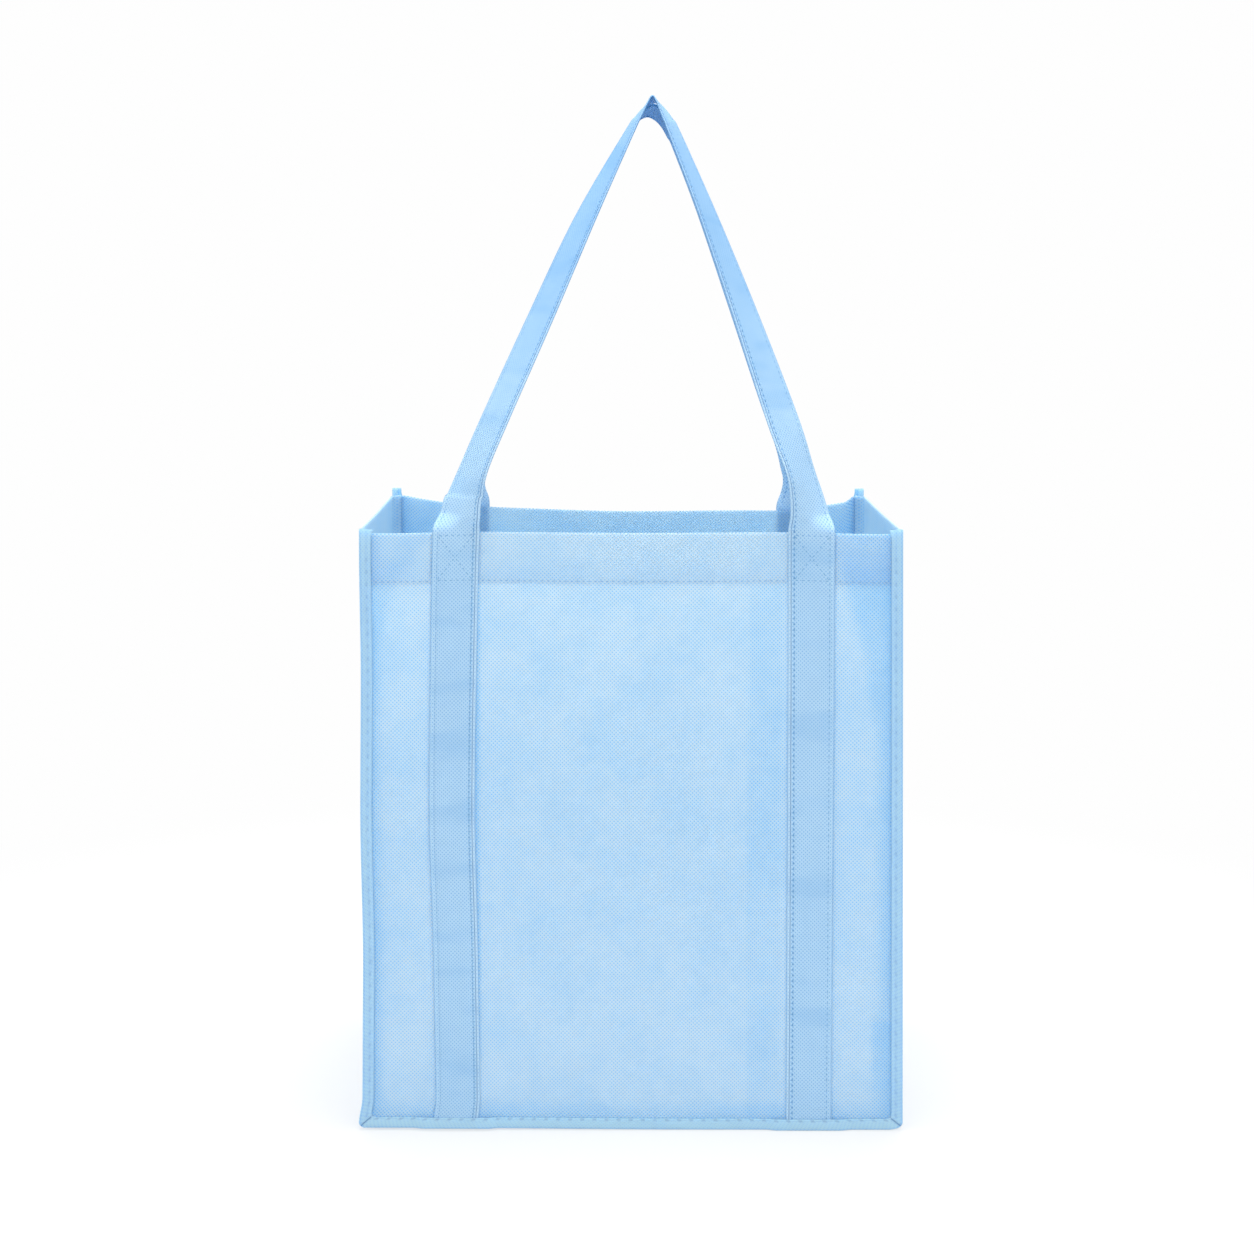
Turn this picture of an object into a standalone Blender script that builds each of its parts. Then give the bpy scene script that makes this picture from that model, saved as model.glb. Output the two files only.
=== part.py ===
"""Sewn grocery tote of thin non-woven cloth, standing open with both handles raised.

Every piece starts as the flat strip or sheet that was cut for it, which is a plain grid.
One function folds and curves the grid into its place, and Solidify gives the cloth its
thickness. X runs across the front, Y from front to back and Z up. The origin is on the
surface that the tote stands on, under its middle. Lengths are in metres.
"""

import math

import bmesh
import bpy
from mathutils import Vector

# Overall size, at the side seams and at the floor.
HEIGHT = 0.350
DEPTH = 0.203
BASE_SEAM_HALF = 0.1535
RIM_SEAM_HALF = 0.1481

# Cloth, strap and the room left between layers.
CLOTH = 0.00045
STRAP_THICKNESS = 0.0011
STRAP_WIDTH = 0.0258
STRAP_FOOT = 0.0025
CLEARANCE = 0.00035
LAYER = CLOTH + CLEARANCE

# Seams: cloth turned outwards and wrapped in a folded tape.
SEAM_ALLOWANCE = 0.0050
CUT_EDGE = 0.0035
TAPE_INNER_REACH = 0.0024
TAPE_BACK_REACH = 0.0014
TAPE_ROUNDING = 0.00045
LIFT_REACH = 0.012
LIFT_RAMP = 0.007
CORNER_RADIUS = 0.0030

# Hems at the mouth.
HEM = 0.0290
HEM_EASE = 0.0180

# The side and bottom walls leave the seam, turn a small curl and swell outwards.
CURL = 0.0010
SWELL_DEPTH = 0.020
SIDE_TOP_ROW = 0.02
WALL_SWELL = SEAM_ALLOWANCE - CLOTH / 2

# How the front and back lean in between the side seams, pulled by the handles.
LEAN_RAMP = 0.060
LEAN_POWER = 2.2

FABRIC_BLUE = (0.47, 0.69, 0.90, 1.0)
TAPE_BLUE = (0.40, 0.64, 0.89, 1.0)
STRAP_BLUE = (0.42, 0.65, 0.89, 1.0)
ROUGHNESS = 0.85

# What differs between the front and the back of the tote. Straps are given as the middle
# of the left and of the right one, at the foot and at the rim. The loop of the back
# handle is spread a little wider.
FRONT = {
    "side": -1.0,
    "lean": 0.012,
    "drop_at_strap": 0.0004,
    "drop_in_middle": 0.0010,
    "strap_feet": (-0.1022, 0.1036),
    "strap_rims": (-0.0989, 0.1021),
    "loop_spread": (0.0, 0.0),
    "tape_stands_up": 0.0027,
}
BACK = {
    "side": 1.0,
    "lean": 0.017,
    "drop_at_strap": 0.0060,
    "drop_in_middle": 0.0086,
    "strap_feet": (-0.1040, 0.1060),
    "strap_rims": (-0.1032, 0.1072),
    "loop_spread": (-0.0052, 0.0118),
    "tape_stands_up": 0.0047,
}

# The free loop of a handle: x, height and twist in degrees, from the left rim over the
# top to the right rim. Its inner edge turns outwards as it rises, and it is gathered at
# one point, where it lies across the top edge-on to the front.
LOOP = [
    (-0.0977, 0.3566, 22.0),
    (-0.0957, 0.3678, 36.0),
    (-0.0903, 0.3847, 51.0),
    (-0.0788, 0.4128, 55.0),
    (-0.0566, 0.4581, 51.0),
    (-0.0314, 0.5098, 53.0),
    (-0.0174, 0.5389, 58.0),
    (-0.0062, 0.5624, 67.0),
    (0.0010, 0.5800, 80.0),
    (0.0066, 0.5895, 90.0),
    (0.0124, 0.5940, 90.0),
    (0.0182, 0.5890, 90.0),
    (0.0235, 0.5790, 84.0),
    (0.0310, 0.5630, 72.0),
    (0.0410, 0.5389, 64.0),
    (0.0524, 0.5099, 60.0),
    (0.0758, 0.4469, 50.0),
    (0.0865, 0.4130, 46.0),
    (0.0954, 0.3849, 48.0),
    (0.0999, 0.3681, 42.0),
    (0.1011, 0.3580, 27.0),
]
LOOP_TOP = 0.5940
LOOP_TOP_X = 0.0124
LOOP_TOP_FROM_MIDDLE = 0.0128
LOOP_TOP_TILT = math.radians(24.0)
LOOP_LEAN_POWER = 1.2
LOOP_START = 0.0020
LOOP_RELEASE = 0.0160
LOOP_SPREAD_RISE = 0.0300


def ease(t):
    """Rise from 0 to 1 with level ends."""
    t = min(max(t, 0.0), 1.0)
    return t * t * (3.0 - 2.0 * t)


def spread(start, end, count):
    """Evenly spaced values from start to end, both included."""
    return [start + (end - start) * i / (count - 1) for i in range(count)]


def seam_half(z):
    """Half the distance between the side seams at a height."""
    return BASE_SEAM_HALF + (RIM_SEAM_HALF - BASE_SEAM_HALF) * z / HEIGHT


def lean(x, z, face):
    """How far a large panel leans in from the plane of its seams."""
    inside = seam_half(z) - TAPE_INNER_REACH - CLOTH - abs(x)
    rise = max(z, 0.0) / HEIGHT
    return face["lean"] * ease(inside / LEAN_RAMP) * rise ** LEAN_POWER


def rim_height(x, face):
    """Height of a large panel's top edge, which sags between its corners."""
    strap = 0.5 * (face["strap_rims"][1] - face["strap_rims"][0])
    at_strap = ease((RIM_SEAM_HALF - abs(x)) / (RIM_SEAM_HALF - strap))
    in_middle = ease((strap - abs(x)) / strap)
    extra = face["drop_in_middle"] - face["drop_at_strap"]
    return HEIGHT - face["drop_at_strap"] * at_strap - extra * in_middle


def hemmed_rows(body_rows):
    """Rows of a hemmed sheet as (depth below the rim, offset inwards), top edge folded in."""
    turn = LAYER / 2
    rows = [(depth, 0.0) for depth in body_rows]
    for angle in spread(0.0, math.pi, 5):
        rows.append((turn * (1.0 - math.sin(angle)), turn * (1.0 - math.cos(angle))))
    rows += [(depth, LAYER) for depth in (0.3 * HEM, 0.7 * HEM, HEM)]
    return rows


def gusset_depth(below_rim):
    """How far the side and bottom strip lies behind a panel in the seam, hems included."""
    past_hems = ease((below_rim - HEM) / HEM_EASE)
    return LAYER * (3.0 - 2.0 * past_hems)


def trough(leg, along, out):
    """Point in X and Z of the side and bottom strip.

    The strip runs down the left, along the bottom and up the right. A leg is one of
    those or a corner between two, along goes from 0 to 1 on it, and out is the distance
    outside the seam line.
    """
    low = SEAM_ALLOWANCE - out + CORNER_RADIUS
    wide = seam_half(low) + out - CORNER_RADIUS
    if leg == "bottom":
        return wide * (2.0 * along - 1.0), SEAM_ALLOWANCE - out
    if leg in ("left", "right"):
        down = along if leg == "left" else 1.0 - along
        z = HEIGHT - down * (HEIGHT - low)
        x = seam_half(z) + out
    else:
        turn = 0.5 * math.pi * (along if leg == "left corner" else 1.0 - along)
        x = wide + CORNER_RADIUS * math.cos(turn)
        z = low - CORNER_RADIUS * math.sin(turn)
    return (-x if leg.startswith("left") else x), z


def trough_stations(side, bottom):
    """Stations along the whole trough, from how far down a side and along the bottom."""
    corner = [0.25, 0.5, 0.75]
    stations = [("left", a) for a in side]
    stations += [("left corner", a) for a in corner]
    stations += [("bottom", a) for a in bottom]
    stations += [("right corner", a) for a in corner]
    stations += [("right", 1.0 - a) for a in reversed(side)]
    return stations


def below_rim(leg, along):
    """Depth below the rim of a station of the trough."""
    if leg == "left":
        return along * HEIGHT
    if leg == "right":
        return (1.0 - along) * HEIGHT
    return HEIGHT


def make_material(name, colour):
    material = bpy.data.materials.new(name)
    material.use_nodes = True
    shader = material.node_tree.nodes["Principled BSDF"]
    shader.inputs["Base Color"].default_value = colour
    shader.inputs["Roughness"].default_value = ROUGHNESS
    shader.inputs["Metallic"].default_value = 0.0
    return material


def make_cloth(name, columns, rows, place, thickness, colour):
    """Fold a flat grid with place(column, row) and thicken it."""
    across, along = len(columns) - 1, len(rows) - 1
    sheet = bmesh.new()
    bmesh.ops.create_grid(sheet, x_segments=across, y_segments=along, size=1.0)
    for vert in sheet.verts:
        i = round((vert.co.x + 1.0) / 2.0 * across)
        j = round((vert.co.y + 1.0) / 2.0 * along)
        vert.co = place(columns[i], rows[j])
    mesh = bpy.data.meshes.new(name)
    sheet.to_mesh(mesh)
    sheet.free()
    mesh.shade_smooth()
    mesh.materials.append(make_material(name + "_cloth", colour))
    piece = bpy.data.objects.new(name, mesh)
    solidify = piece.modifiers.new("Thickness", "SOLIDIFY")
    solidify.thickness = thickness
    solidify.offset = 0.0
    solidify.use_even_offset = True
    return piece


def make_panel(name, face):
    """A large panel: one sheet with its top edge folded in as a hem."""
    flange = [0.985, 1.0]
    ramp = spread(0.57, 0.965, 12)
    middle = [0.14, 0.42]
    half = middle + ramp + flange
    columns = [-u for u in reversed(half)] + half
    foot = HEIGHT - (SEAM_ALLOWANCE - CUT_EDGE)
    rows = hemmed_rows(spread(foot, LAYER, 14))

    def place(u, row):
        depth, inwards = row
        across = u * (seam_half(HEIGHT - depth) + CUT_EDGE)
        rim = rim_height(across, face)
        z = rim - depth * (rim - HEIGHT + foot) / foot
        y = -DEPTH / 2 + lean(across, z, face) + inwards
        return Vector((across, -face["side"] * y, z))

    return make_cloth(name, columns, rows, place, CLOTH, FABRIC_BLUE)


def gusset_section():
    """Half section of the side and bottom strip, from its front edge to mid depth.

    Each point is (distance outside the seam line, distance behind the flange) with the
    direction that faces into the tote.
    """
    points = [(CUT_EDGE, 0.0), (0.5 * (CUT_EDGE + CURL), 0.0)]
    for angle in spread(0.0, math.pi / 2, 4):
        points.append((CURL - CURL * math.sin(angle), CURL - CURL * math.cos(angle)))
    for step in (0.15, 0.35, 0.55, 0.75, 1.0):
        points.append((WALL_SWELL * ease(step), CURL + SWELL_DEPTH * step))
    points.append((WALL_SWELL, DEPTH / 4))
    section = []
    for i, (out, behind) in enumerate(points):
        before = points[max(i - 1, 0)]
        after = points[min(i + 1, len(points) - 1)]
        run = Vector((after[0] - before[0], after[1] - before[1])).normalized()
        section.append((out, behind, -run.y, run.x))
    return section


def make_gusset():
    """The strip that forms both sides and the bottom, hemmed at its two ends."""
    section = gusset_section()
    front = [(-1.0,) + point for point in section]
    back = [(1.0,) + point for point in reversed(section)]
    columns = front + [(0.0, WALL_SWELL, 0.0, -1.0, 0.0)] + back

    hem = [(depth / HEIGHT, inwards) for depth, inwards in hemmed_rows([])]
    side = spread(SIDE_TOP_ROW, 1.0, 9)
    stations = trough_stations(side, spread(0.0, 1.0, 7))
    rows = [("left", along, inwards) for along, inwards in reversed(hem)]
    rows += [(leg, along, 0.0) for leg, along in stations]
    rows += [("right", 1.0 - along, inwards) for along, inwards in hem]

    def place(column, row):
        face, out, behind, face_out, face_behind = column
        leg, along, inwards = row
        x, z = trough(leg, along, out + inwards * face_out)
        if face == 0.0:
            return Vector((x, 0.0, z))
        behind += gusset_depth(below_rim(leg, along)) + inwards * face_behind
        return Vector((x, face * (DEPTH / 2 - behind), z))

    return make_cloth("gusset", columns, rows, place, CLOTH, FABRIC_BLUE)


def strap_lift(x, face):
    """How far the bottom tape stands off where it runs over the ends of the strap."""
    nearest = min(abs(x - foot) for foot in face["strap_feet"])
    inside = STRAP_WIDTH / 2 + LIFT_REACH - nearest
    return (STRAP_THICKNESS + CLEARANCE) * ease(inside / LIFT_RAMP)


def make_binding(name, face):
    """The tape folded round the seam, down one side, along the bottom and up the other."""
    edge = SEAM_ALLOWANCE - CLOTH / 2
    columns = [
        (-TAPE_INNER_REACH, -LAYER, 0.0, 1.0),
        (0.3 * edge, -LAYER, 0.0, 1.0),
        (edge - TAPE_ROUNDING, -LAYER, 0.0, 1.0),
        (edge, TAPE_ROUNDING - LAYER, 0.0, 1.0),
        (edge, LAYER - TAPE_ROUNDING, 1.0, 0.0),
        (edge - TAPE_ROUNDING, LAYER, 1.0, 0.0),
        (TAPE_BACK_REACH, LAYER, 1.0, 0.0),
    ]
    bottom = [0.0, 0.05]
    for centre in face["strap_feet"]:
        middle = 0.5 + centre / (2.0 * BASE_SEAM_HALF)
        bottom += [middle + shift for shift in (-0.082, -0.067, -0.052, 0.0, 0.052, 0.067, 0.082)]
    bottom += [0.95, 1.0]
    side = spread(-face["tape_stands_up"] / HEIGHT, 1.0, 16)
    rows = trough_stations(side, sorted(bottom))

    def place(column, row):
        out, depth, behind_gusset, over_strap = column
        leg, along = row
        x, z = trough(leg, along, out)
        depth += behind_gusset * gusset_depth(below_rim(leg, along))
        if leg == "bottom":
            depth -= over_strap * strap_lift(x, face)
        return Vector((x, face["side"] * (DEPTH / 2 - depth), z))

    return make_cloth(name, columns, rows, place, CLOTH, TAPE_BLUE)


def smooth_through(points, per_span):
    """A Catmull-Rom curve through points, with per_span steps between neighbours."""
    ends = [2.0 * points[0] - points[1]] + points + [2.0 * points[-1] - points[-2]]
    curve = []
    for a, b, c, d in zip(ends, ends[1:], ends[2:], ends[3:]):
        for step in range(per_span):
            t = step / per_span
            curve.append(0.5 * (2.0 * b + (c - a) * t + (2.0 * a - 5.0 * b + 4.0 * c - d) * t * t
                                + (3.0 * b - a - 3.0 * c + d) * t ** 3))
    curve.append(points[-1].copy())
    return curve


def strap_centre(z, end, face):
    """X of a strap's middle where it is sewn down; end is 0 on the left and 1 on the right."""
    foot, rim = face["strap_feet"][end], face["strap_rims"][end]
    return foot + (rim - foot) * min(z / HEIGHT, 1.0)


def sewn_point(across, z, end, face):
    """Middle of the strap's thickness on the panel, carried straight on above the rim."""
    off = CLOTH / 2 + CLEARANCE + STRAP_THICKNESS / 2
    inner = 1.0 if end == 0 else -1.0
    x = strap_centre(z, end, face) + across * inner * STRAP_WIDTH / 2
    return Vector((x, -DEPTH / 2 + lean(x, z, face) - off, z))


def loop_path(face):
    """Centre line of the free loop as points (x, height, twist)."""
    knots = []
    for x, z, twist in LOOP:
        end = 0 if x < LOOP_TOP_X else 1
        at_rim = face["strap_rims"][end] - FRONT["strap_rims"][end]
        spare = max(LOOP_TOP - z, 0.0) / (LOOP_TOP - HEIGHT)
        spread_out = ease((z - HEIGHT) / LOOP_SPREAD_RISE)
        shift = at_rim + (face["loop_spread"][end] * spare - at_rim) * spread_out
        knots.append(Vector((x + shift, z, math.radians(twist))))
    starts = []
    for rim in face["strap_rims"]:
        starts.append(Vector((rim, rim_height(rim, face) + LOOP_START, 0.0)))
    return smooth_through([starts[0]] + knots + [starts[1]], 3)


def loop_rows(face):
    """Rows of the free loop: centre, half-width vector, strap end and release."""
    path = loop_path(face)
    last = len(path) - 1
    stages = []
    for i, (x, z, _) in enumerate(path):
        end = 0 if i < len(path) / 2 else 1
        start = sewn_point(0.0, HEIGHT, end, face).y
        rise = min(max((z - HEIGHT) / (LOOP_TOP - HEIGHT), 0.0), 1.0)
        y = start + (-LOOP_TOP_FROM_MIDDLE - start) * rise ** LOOP_LEAN_POWER
        stages.append((Vector((x, y, z)), rise, end))
    rows = []
    for i, (centre, rise, end) in enumerate(stages):
        run = (stages[min(i + 1, last)][0] - stages[max(i - 1, 0)][0]).normalized()
        tilt = LOOP_TOP_TILT * rise
        forward = Vector((0.0, -math.cos(tilt), math.sin(tilt)))
        forward = (forward - run * forward.dot(run)).normalized()
        twist = path[i].z
        across = run.cross(forward) * math.cos(twist) + forward * math.sin(twist)
        rim = rim_height(face["strap_rims"][end], face)
        release = ease((centre.z - rim - LOOP_START) / LOOP_RELEASE)
        rows.append((centre, across * STRAP_WIDTH / 2, end, release))
    return rows


def make_strap(name, face):
    """One long webbing: up the panel from the bottom seam, round the handle and down again."""
    sewn = []
    for end, rim in enumerate(face["strap_rims"]):
        heights = spread(STRAP_FOOT, rim_height(rim, face) - CLEARANCE, 13)
        sewn.append([(Vector((0.0, 0.0, z)), Vector(), end, 0.0) for z in heights])
    rows = sewn[0] + loop_rows(face) + sewn[1][::-1]

    def place(across, row):
        centre, half_width, end, release = row
        sewn_there = sewn_point(across, centre.z, end, face)
        point = sewn_there.lerp(centre + half_width * across, release)
        return Vector((point.x, -face["side"] * point.y, point.z))

    columns = [-1.0, -0.5, 0.0, 0.5, 1.0]
    return make_cloth(name, columns, rows, place, STRAP_THICKNESS, STRAP_BLUE)


def main():
    for old in list(bpy.data.objects):
        bpy.data.objects.remove(old, do_unlink=True)
    collection = bpy.data.collections.new("grocery_tote")
    bpy.context.scene.collection.children.link(collection)
    tote = bpy.data.objects.new("tote", None)
    collection.objects.link(tote)
    pieces = [
        make_panel("front_panel", FRONT),
        make_panel("back_panel", BACK),
        make_gusset(),
        make_binding("front_binding", FRONT),
        make_binding("back_binding", BACK),
        make_strap("front_strap", FRONT),
        make_strap("back_strap", BACK),
    ]
    for piece in pieces:
        collection.objects.link(piece)
        piece.parent = tote


main()
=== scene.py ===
import math

import bpy
import numpy as np
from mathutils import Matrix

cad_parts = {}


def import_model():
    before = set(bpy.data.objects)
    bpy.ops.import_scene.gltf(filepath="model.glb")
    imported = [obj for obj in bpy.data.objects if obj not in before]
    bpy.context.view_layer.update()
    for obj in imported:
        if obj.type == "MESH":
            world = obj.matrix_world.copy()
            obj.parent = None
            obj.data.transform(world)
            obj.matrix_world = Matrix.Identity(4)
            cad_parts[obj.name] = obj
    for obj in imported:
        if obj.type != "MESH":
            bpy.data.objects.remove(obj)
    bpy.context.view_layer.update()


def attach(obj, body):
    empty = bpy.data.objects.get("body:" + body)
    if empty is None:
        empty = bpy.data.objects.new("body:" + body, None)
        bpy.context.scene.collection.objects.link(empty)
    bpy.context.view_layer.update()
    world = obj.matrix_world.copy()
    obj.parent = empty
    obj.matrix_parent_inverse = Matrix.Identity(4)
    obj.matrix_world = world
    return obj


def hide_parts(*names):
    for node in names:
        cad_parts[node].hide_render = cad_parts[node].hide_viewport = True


# Dressing of a sewn grocery tote of thin embossed cloth. Every sheet, tape and strap is a
# surface worked out from two parameters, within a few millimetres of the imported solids. X
# runs across the front, Y from front to back and Z up. Lengths are in metres.

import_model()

# Overall size, at the side seams and at the floor.
HEIGHT = 0.350
DEPTH = 0.203
BASE_SEAM_HALF = 0.1535
RIM_SEAM_HALF = 0.1481

# Cloth, strap and the room between layers.
CLOTH = 0.00045
STRAP_THICKNESS = 0.0011
STRAP_HALF = 0.01315
STRAP_FOOT = 0.0025
CLEARANCE = 0.00035
LAYER = CLOTH + CLEARANCE

# Seams: cloth turned outwards and wrapped in a folded tape.
SEAM_ALLOWANCE = 0.0050
CUT_EDGE = 0.0035
TAPE_INNER_REACH = 0.0017
TAPE_BACK_REACH = 0.0014
TAPE_ROUNDING = 0.00045
TAPE_PITCH = 0.0071
TAPE_SCALLOP = 0.00012
TAPE_STITCH_SIDE = 0.0009
TAPE_STITCH_BOTTOM = -0.0008
LIFT_REACH = 0.012
LIFT_RAMP = 0.007
CORNER_RADIUS = 0.0030

# Hems at the mouth.
HEM = 0.0290
HEM_EASE = 0.0180
HEM_STITCH_UP = 0.0016

# Side and bottom walls: a small curl at the seam, then a swell outwards.
CURL = 0.0010
WALL_SWELL = SEAM_ALLOWANCE - CLOTH / 2
RIM_EXTRA_SWELL = 0.0005
SWELL_DEPTH = 0.020
RIM_SWELL_DEPTH = 0.004
MOUTH_BULGE = 0.0016

# How the large faces lean in between the side seams, and their soft unevenness.
LEAN_RAMP = 0.060
LEAN_POWER = 2.2
RIPPLE = 0.0006
SIDE_RIPPLE = 0.0012

# Where the extra sag of a rim lies: the middle and width of its two humps, the run of the
# fall from the right corner, and the power of x with which that fades.
SAG_AT_CORNER = (-0.136, 0.011)
SAG_AT_STRAP = (-0.107, 0.016)
SAG_RIGHT_RUN = 0.008
SAG_RIGHT_POWER = 1.6

# Unevenness of the whole tote: the left seam is drawn in near its foot and stands out at the
# rim, and the front's feet are bent up a little. A pair is a start or end and a run.
LEFT_DRAWN_IN = 0.0020
DRAWN_IN_ABOVE = (0.002, 0.017)
DRAWN_IN_UP_TO = (0.095, 0.10)
LEFT_RIM_OUT = 0.0014
RIM_OUT_ABOVE = (0.26, 0.09)
RIGHT_OUT = 0.0004
RIGHT_OUT_PAST = (0.11, 0.03)
FOOT_LIFT = 0.0026
FOOT_LIFT_PAST = (0.1500, 0.0090)
FOOT_LIFT_HEIGHT = 0.020
LEFT_FOOT_LIFT = 0.0016
LEFT_FOOT_LIFT_BEFORE = (0.03, 0.14)
LEFT_FOOT_LIFT_HEIGHT = 0.030
HANDLES_ONLY_FROM = HEIGHT + 0.02

# Painted shade in a large panel's upper corners. It starts at the height low and is full
# after rise, outside a curve that starts at x = seam and moves by flare times a power of
# the share of that rise. Its depth grows from pale to pale plus more, and is less at the rim.
LEFT_CORNER_SHADE = {
    "low": 0.24,
    "rise": 0.11,
    "seam": -0.1452,
    "flare": 0.035,
    "power": 3.0,
    "pale": 0.09,
    "more": 0.08,
    "less_at_rim": 0.30,
}
RIGHT_CORNER_SHADE = {
    "low": 0.19,
    "rise": 0.16,
    "seam": 0.1408,
    "flare": -0.030,
    "power": 2.1,
    "pale": 0.14,
    "more": 0.16,
    "less_at_rim": 0.50,
}

# Sewing.
STRAP_PITCH = 0.0033
STRAP_STITCH_INNER = STRAP_HALF - 0.00345
STRAP_STITCH_OUTER = STRAP_HALF - 0.0028
STRAP_BOW = 0.0027
STRAP_FOLD_STEP = STRAP_HALF - 0.0018
THREAD_RADIUS = 0.00024
STITCH_RINGS = 5
STITCH_SIDES = 5

# Slant of the thread's plies, in radians for each metre round and along a stitch.
PLIES_ACROSS = 5236.0
PLIES_ALONG = 9000.0

# What differs between the two large faces, where a pair is for the left and the right.
# side: the face's side in Y. lean: how far its rim leans in. drop_at_strap, drop_in_middle:
# sag of the rim. rim_sag: what is added to it next to the left corner, at the left strap
# and towards the right corner. strap_feet, strap_rims: x of the straps' middles at the floor
# and at the rim. strap_bow: sideways bow of a sewn strap. tape_stands_up: how far the tape
# passes the rim. tape_end_flare: how much wider it is there. corner_depth: strength of the
# painted shade in the upper corners. seed: start of the ripple. loop: the free handle's two
# edges, from the left rim over the top to the right rim, as x and height of the edge that
# turns away from the middle of the tote, then x and height of the other one.
FRONT = {
    "side": -1.0,
    "lean": 0.012,
    "drop_at_strap": 0.0004,
    "drop_in_middle": 0.0010,
    "strap_feet": (-0.1019, 0.1038),
    "strap_rims": (-0.0991, 0.1024),
    "strap_bow": (-STRAP_BOW, 0.0),
    "tape_stands_up": 0.0027,
    "tape_end_flare": 0.0010,
    "corner_depth": (0.75, 0.85),
    "rim_sag": (0.0, 0.0, 0.0),
    "seed": 1.0,
    "loop": [
        (-0.0854, 0.3577, -0.1086, 0.3593),
        (-0.0848, 0.3670, -0.1064, 0.3686),
        (-0.0822, 0.3841, -0.0992, 0.3853),
        (-0.0706, 0.4124, -0.0871, 0.4132),
        (-0.0452, 0.4703, -0.0613, 0.4697),
        (-0.0193, 0.5314, -0.0334, 0.5286),
        (0.0014, 0.5788, -0.0030, 0.5807),
        (0.0048, 0.5862, 0.0023, 0.5879),
        (0.0073, 0.5913, 0.0062, 0.5926),
        (0.0098, 0.5965, 0.0101, 0.5958),
        (0.0121, 0.5998, 0.0137, 0.5972),
        (0.0143, 0.5965, 0.0174, 0.5956),
        (0.0164, 0.5910, 0.0209, 0.5919),
        (0.0186, 0.5854, 0.0247, 0.5866),
        (0.0214, 0.5783, 0.0288, 0.5795),
        (0.0384, 0.5320, 0.0513, 0.5280),
        (0.0586, 0.4707, 0.0751, 0.4693),
        (0.0769, 0.4126, 0.0963, 0.4134),
        (0.0873, 0.3847, 0.1049, 0.3851),
        (0.0897, 0.3699, 0.1100, 0.3701),
        (0.0898, 0.3584, 0.1133, 0.3586),
    ],
}
BACK = {
    "side": 1.0,
    "lean": 0.017,
    "drop_at_strap": 0.0060,
    "drop_in_middle": 0.0086,
    "strap_feet": (-0.1040, 0.1060),
    "strap_rims": (-0.1025, 0.1087),
    "strap_bow": (0.0, 0.0),
    "tape_stands_up": 0.0047,
    "tape_end_flare": -0.0012,
    "corner_depth": (0.8, 0.3),
    "rim_sag": (0.0009, -0.0011, 0.0044),
    "seed": 4.0,
    "loop": [
        (-0.0931, 0.3577, -0.1112, 0.3593),
        (-0.0922, 0.3670, -0.1052, 0.3686),
        (-0.0902, 0.3841, -0.1002, 0.3853),
        (-0.0756, 0.4124, -0.0886, 0.4132),
        (-0.0476, 0.4703, -0.0625, 0.4697),
        (-0.0211, 0.5314, -0.0333, 0.5286),
        (-0.0030, 0.5719, -0.0036, 0.5797),
        (-0.0002, 0.5783, 0.0018, 0.5867),
        (0.0022, 0.5839, 0.0058, 0.5916),
        (0.0051, 0.5884, 0.0098, 0.5950),
        (0.0103, 0.5904, 0.0134, 0.5964),
        (0.0155, 0.5880, 0.0172, 0.5946),
        (0.0194, 0.5838, 0.0208, 0.5908),
        (0.0228, 0.5780, 0.0248, 0.5855),
        (0.0262, 0.5715, 0.0302, 0.5785),
        (0.0421, 0.5320, 0.0534, 0.5280),
        (0.0638, 0.4707, 0.0796, 0.4693),
        (0.0842, 0.4126, 0.1026, 0.4134),
        (0.0946, 0.3847, 0.1128, 0.3851),
        (0.0986, 0.3699, 0.1175, 0.3701),
        (0.1004, 0.3584, 0.1225, 0.3586),
    ],
}
LOOP_TOP = 0.5985
LOOP_TOP_FROM_MIDDLE = 0.0137
LOOP_LEAN_POWER = 1.2
LOOP_START = 0.0005
LOOP_RELEASE = 0.0100
SEWN_ROWS = 700
ROWS_PER_SPAN = 40

# Colours, as linear red, green and blue.
# Painted shade of folds, edges, mitres and needle holes.
PAINTED_SHADE_BLUE = (0.060, 0.230, 0.520)
# Each cloth's pale and deep blue. Its tone, mostly painted light and shade, mixes between them.
PANEL_BLUE = (0.880, 0.955, 0.990)
DEEP_BLUE = (0.350, 0.715, 0.965)
TAPE_BLUE = (0.620, 0.880, 0.990)
TAPE_DEEP_BLUE = (0.330, 0.640, 0.960)
STRAP_BLUE = (0.540, 0.770, 0.955)
STRAP_DEEP_BLUE = (0.270, 0.525, 0.830)
THREAD_BLUE = (0.50, 0.74, 0.93)
# Painted shade of thread that is pulled deep into the cloth.
SUNK_SHADE_BLUE = (0.090, 0.320, 0.640)
STUDIO_WHITE = (0.991, 0.991, 0.991)

# Where a large panel's colour, mostly painted light and shade, changes, as a start or end and a run.
HEM_LINE = (HEIGHT - HEM, 0.0006)
BELOW_HEM = (HEIGHT - HEM, 0.002)
HEM_TOP = (0.322, 0.020)
CORNERS_AT_RIM = (0.326, 0.018)
LOW_PANEL = (0.20, 0.18)
NEAR_BOTTOM = (0.021, 0.014)
STRAP_BEHIND_FROM = (0.0668, 0.0010)
STRAP_BEHIND_TO = (0.088, 0.004)
FOOT_PATCH_FROM = (0.1398, 0.001)
FOOT_PATCH_UP_TO = (0.0655, 0.001)

# Where a strap's painted shade and dots change, as a start and a run, and its bend's painted highlight as
# a middle and a width.
STRAP_BEND = (0.362, 0.018)
RAISED_ABOVE = (0.375, 0.16)
PLAIN_ABOVE = (0.385, 0.04)
GATHERED_ABOVE = (0.572, 0.016)
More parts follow.
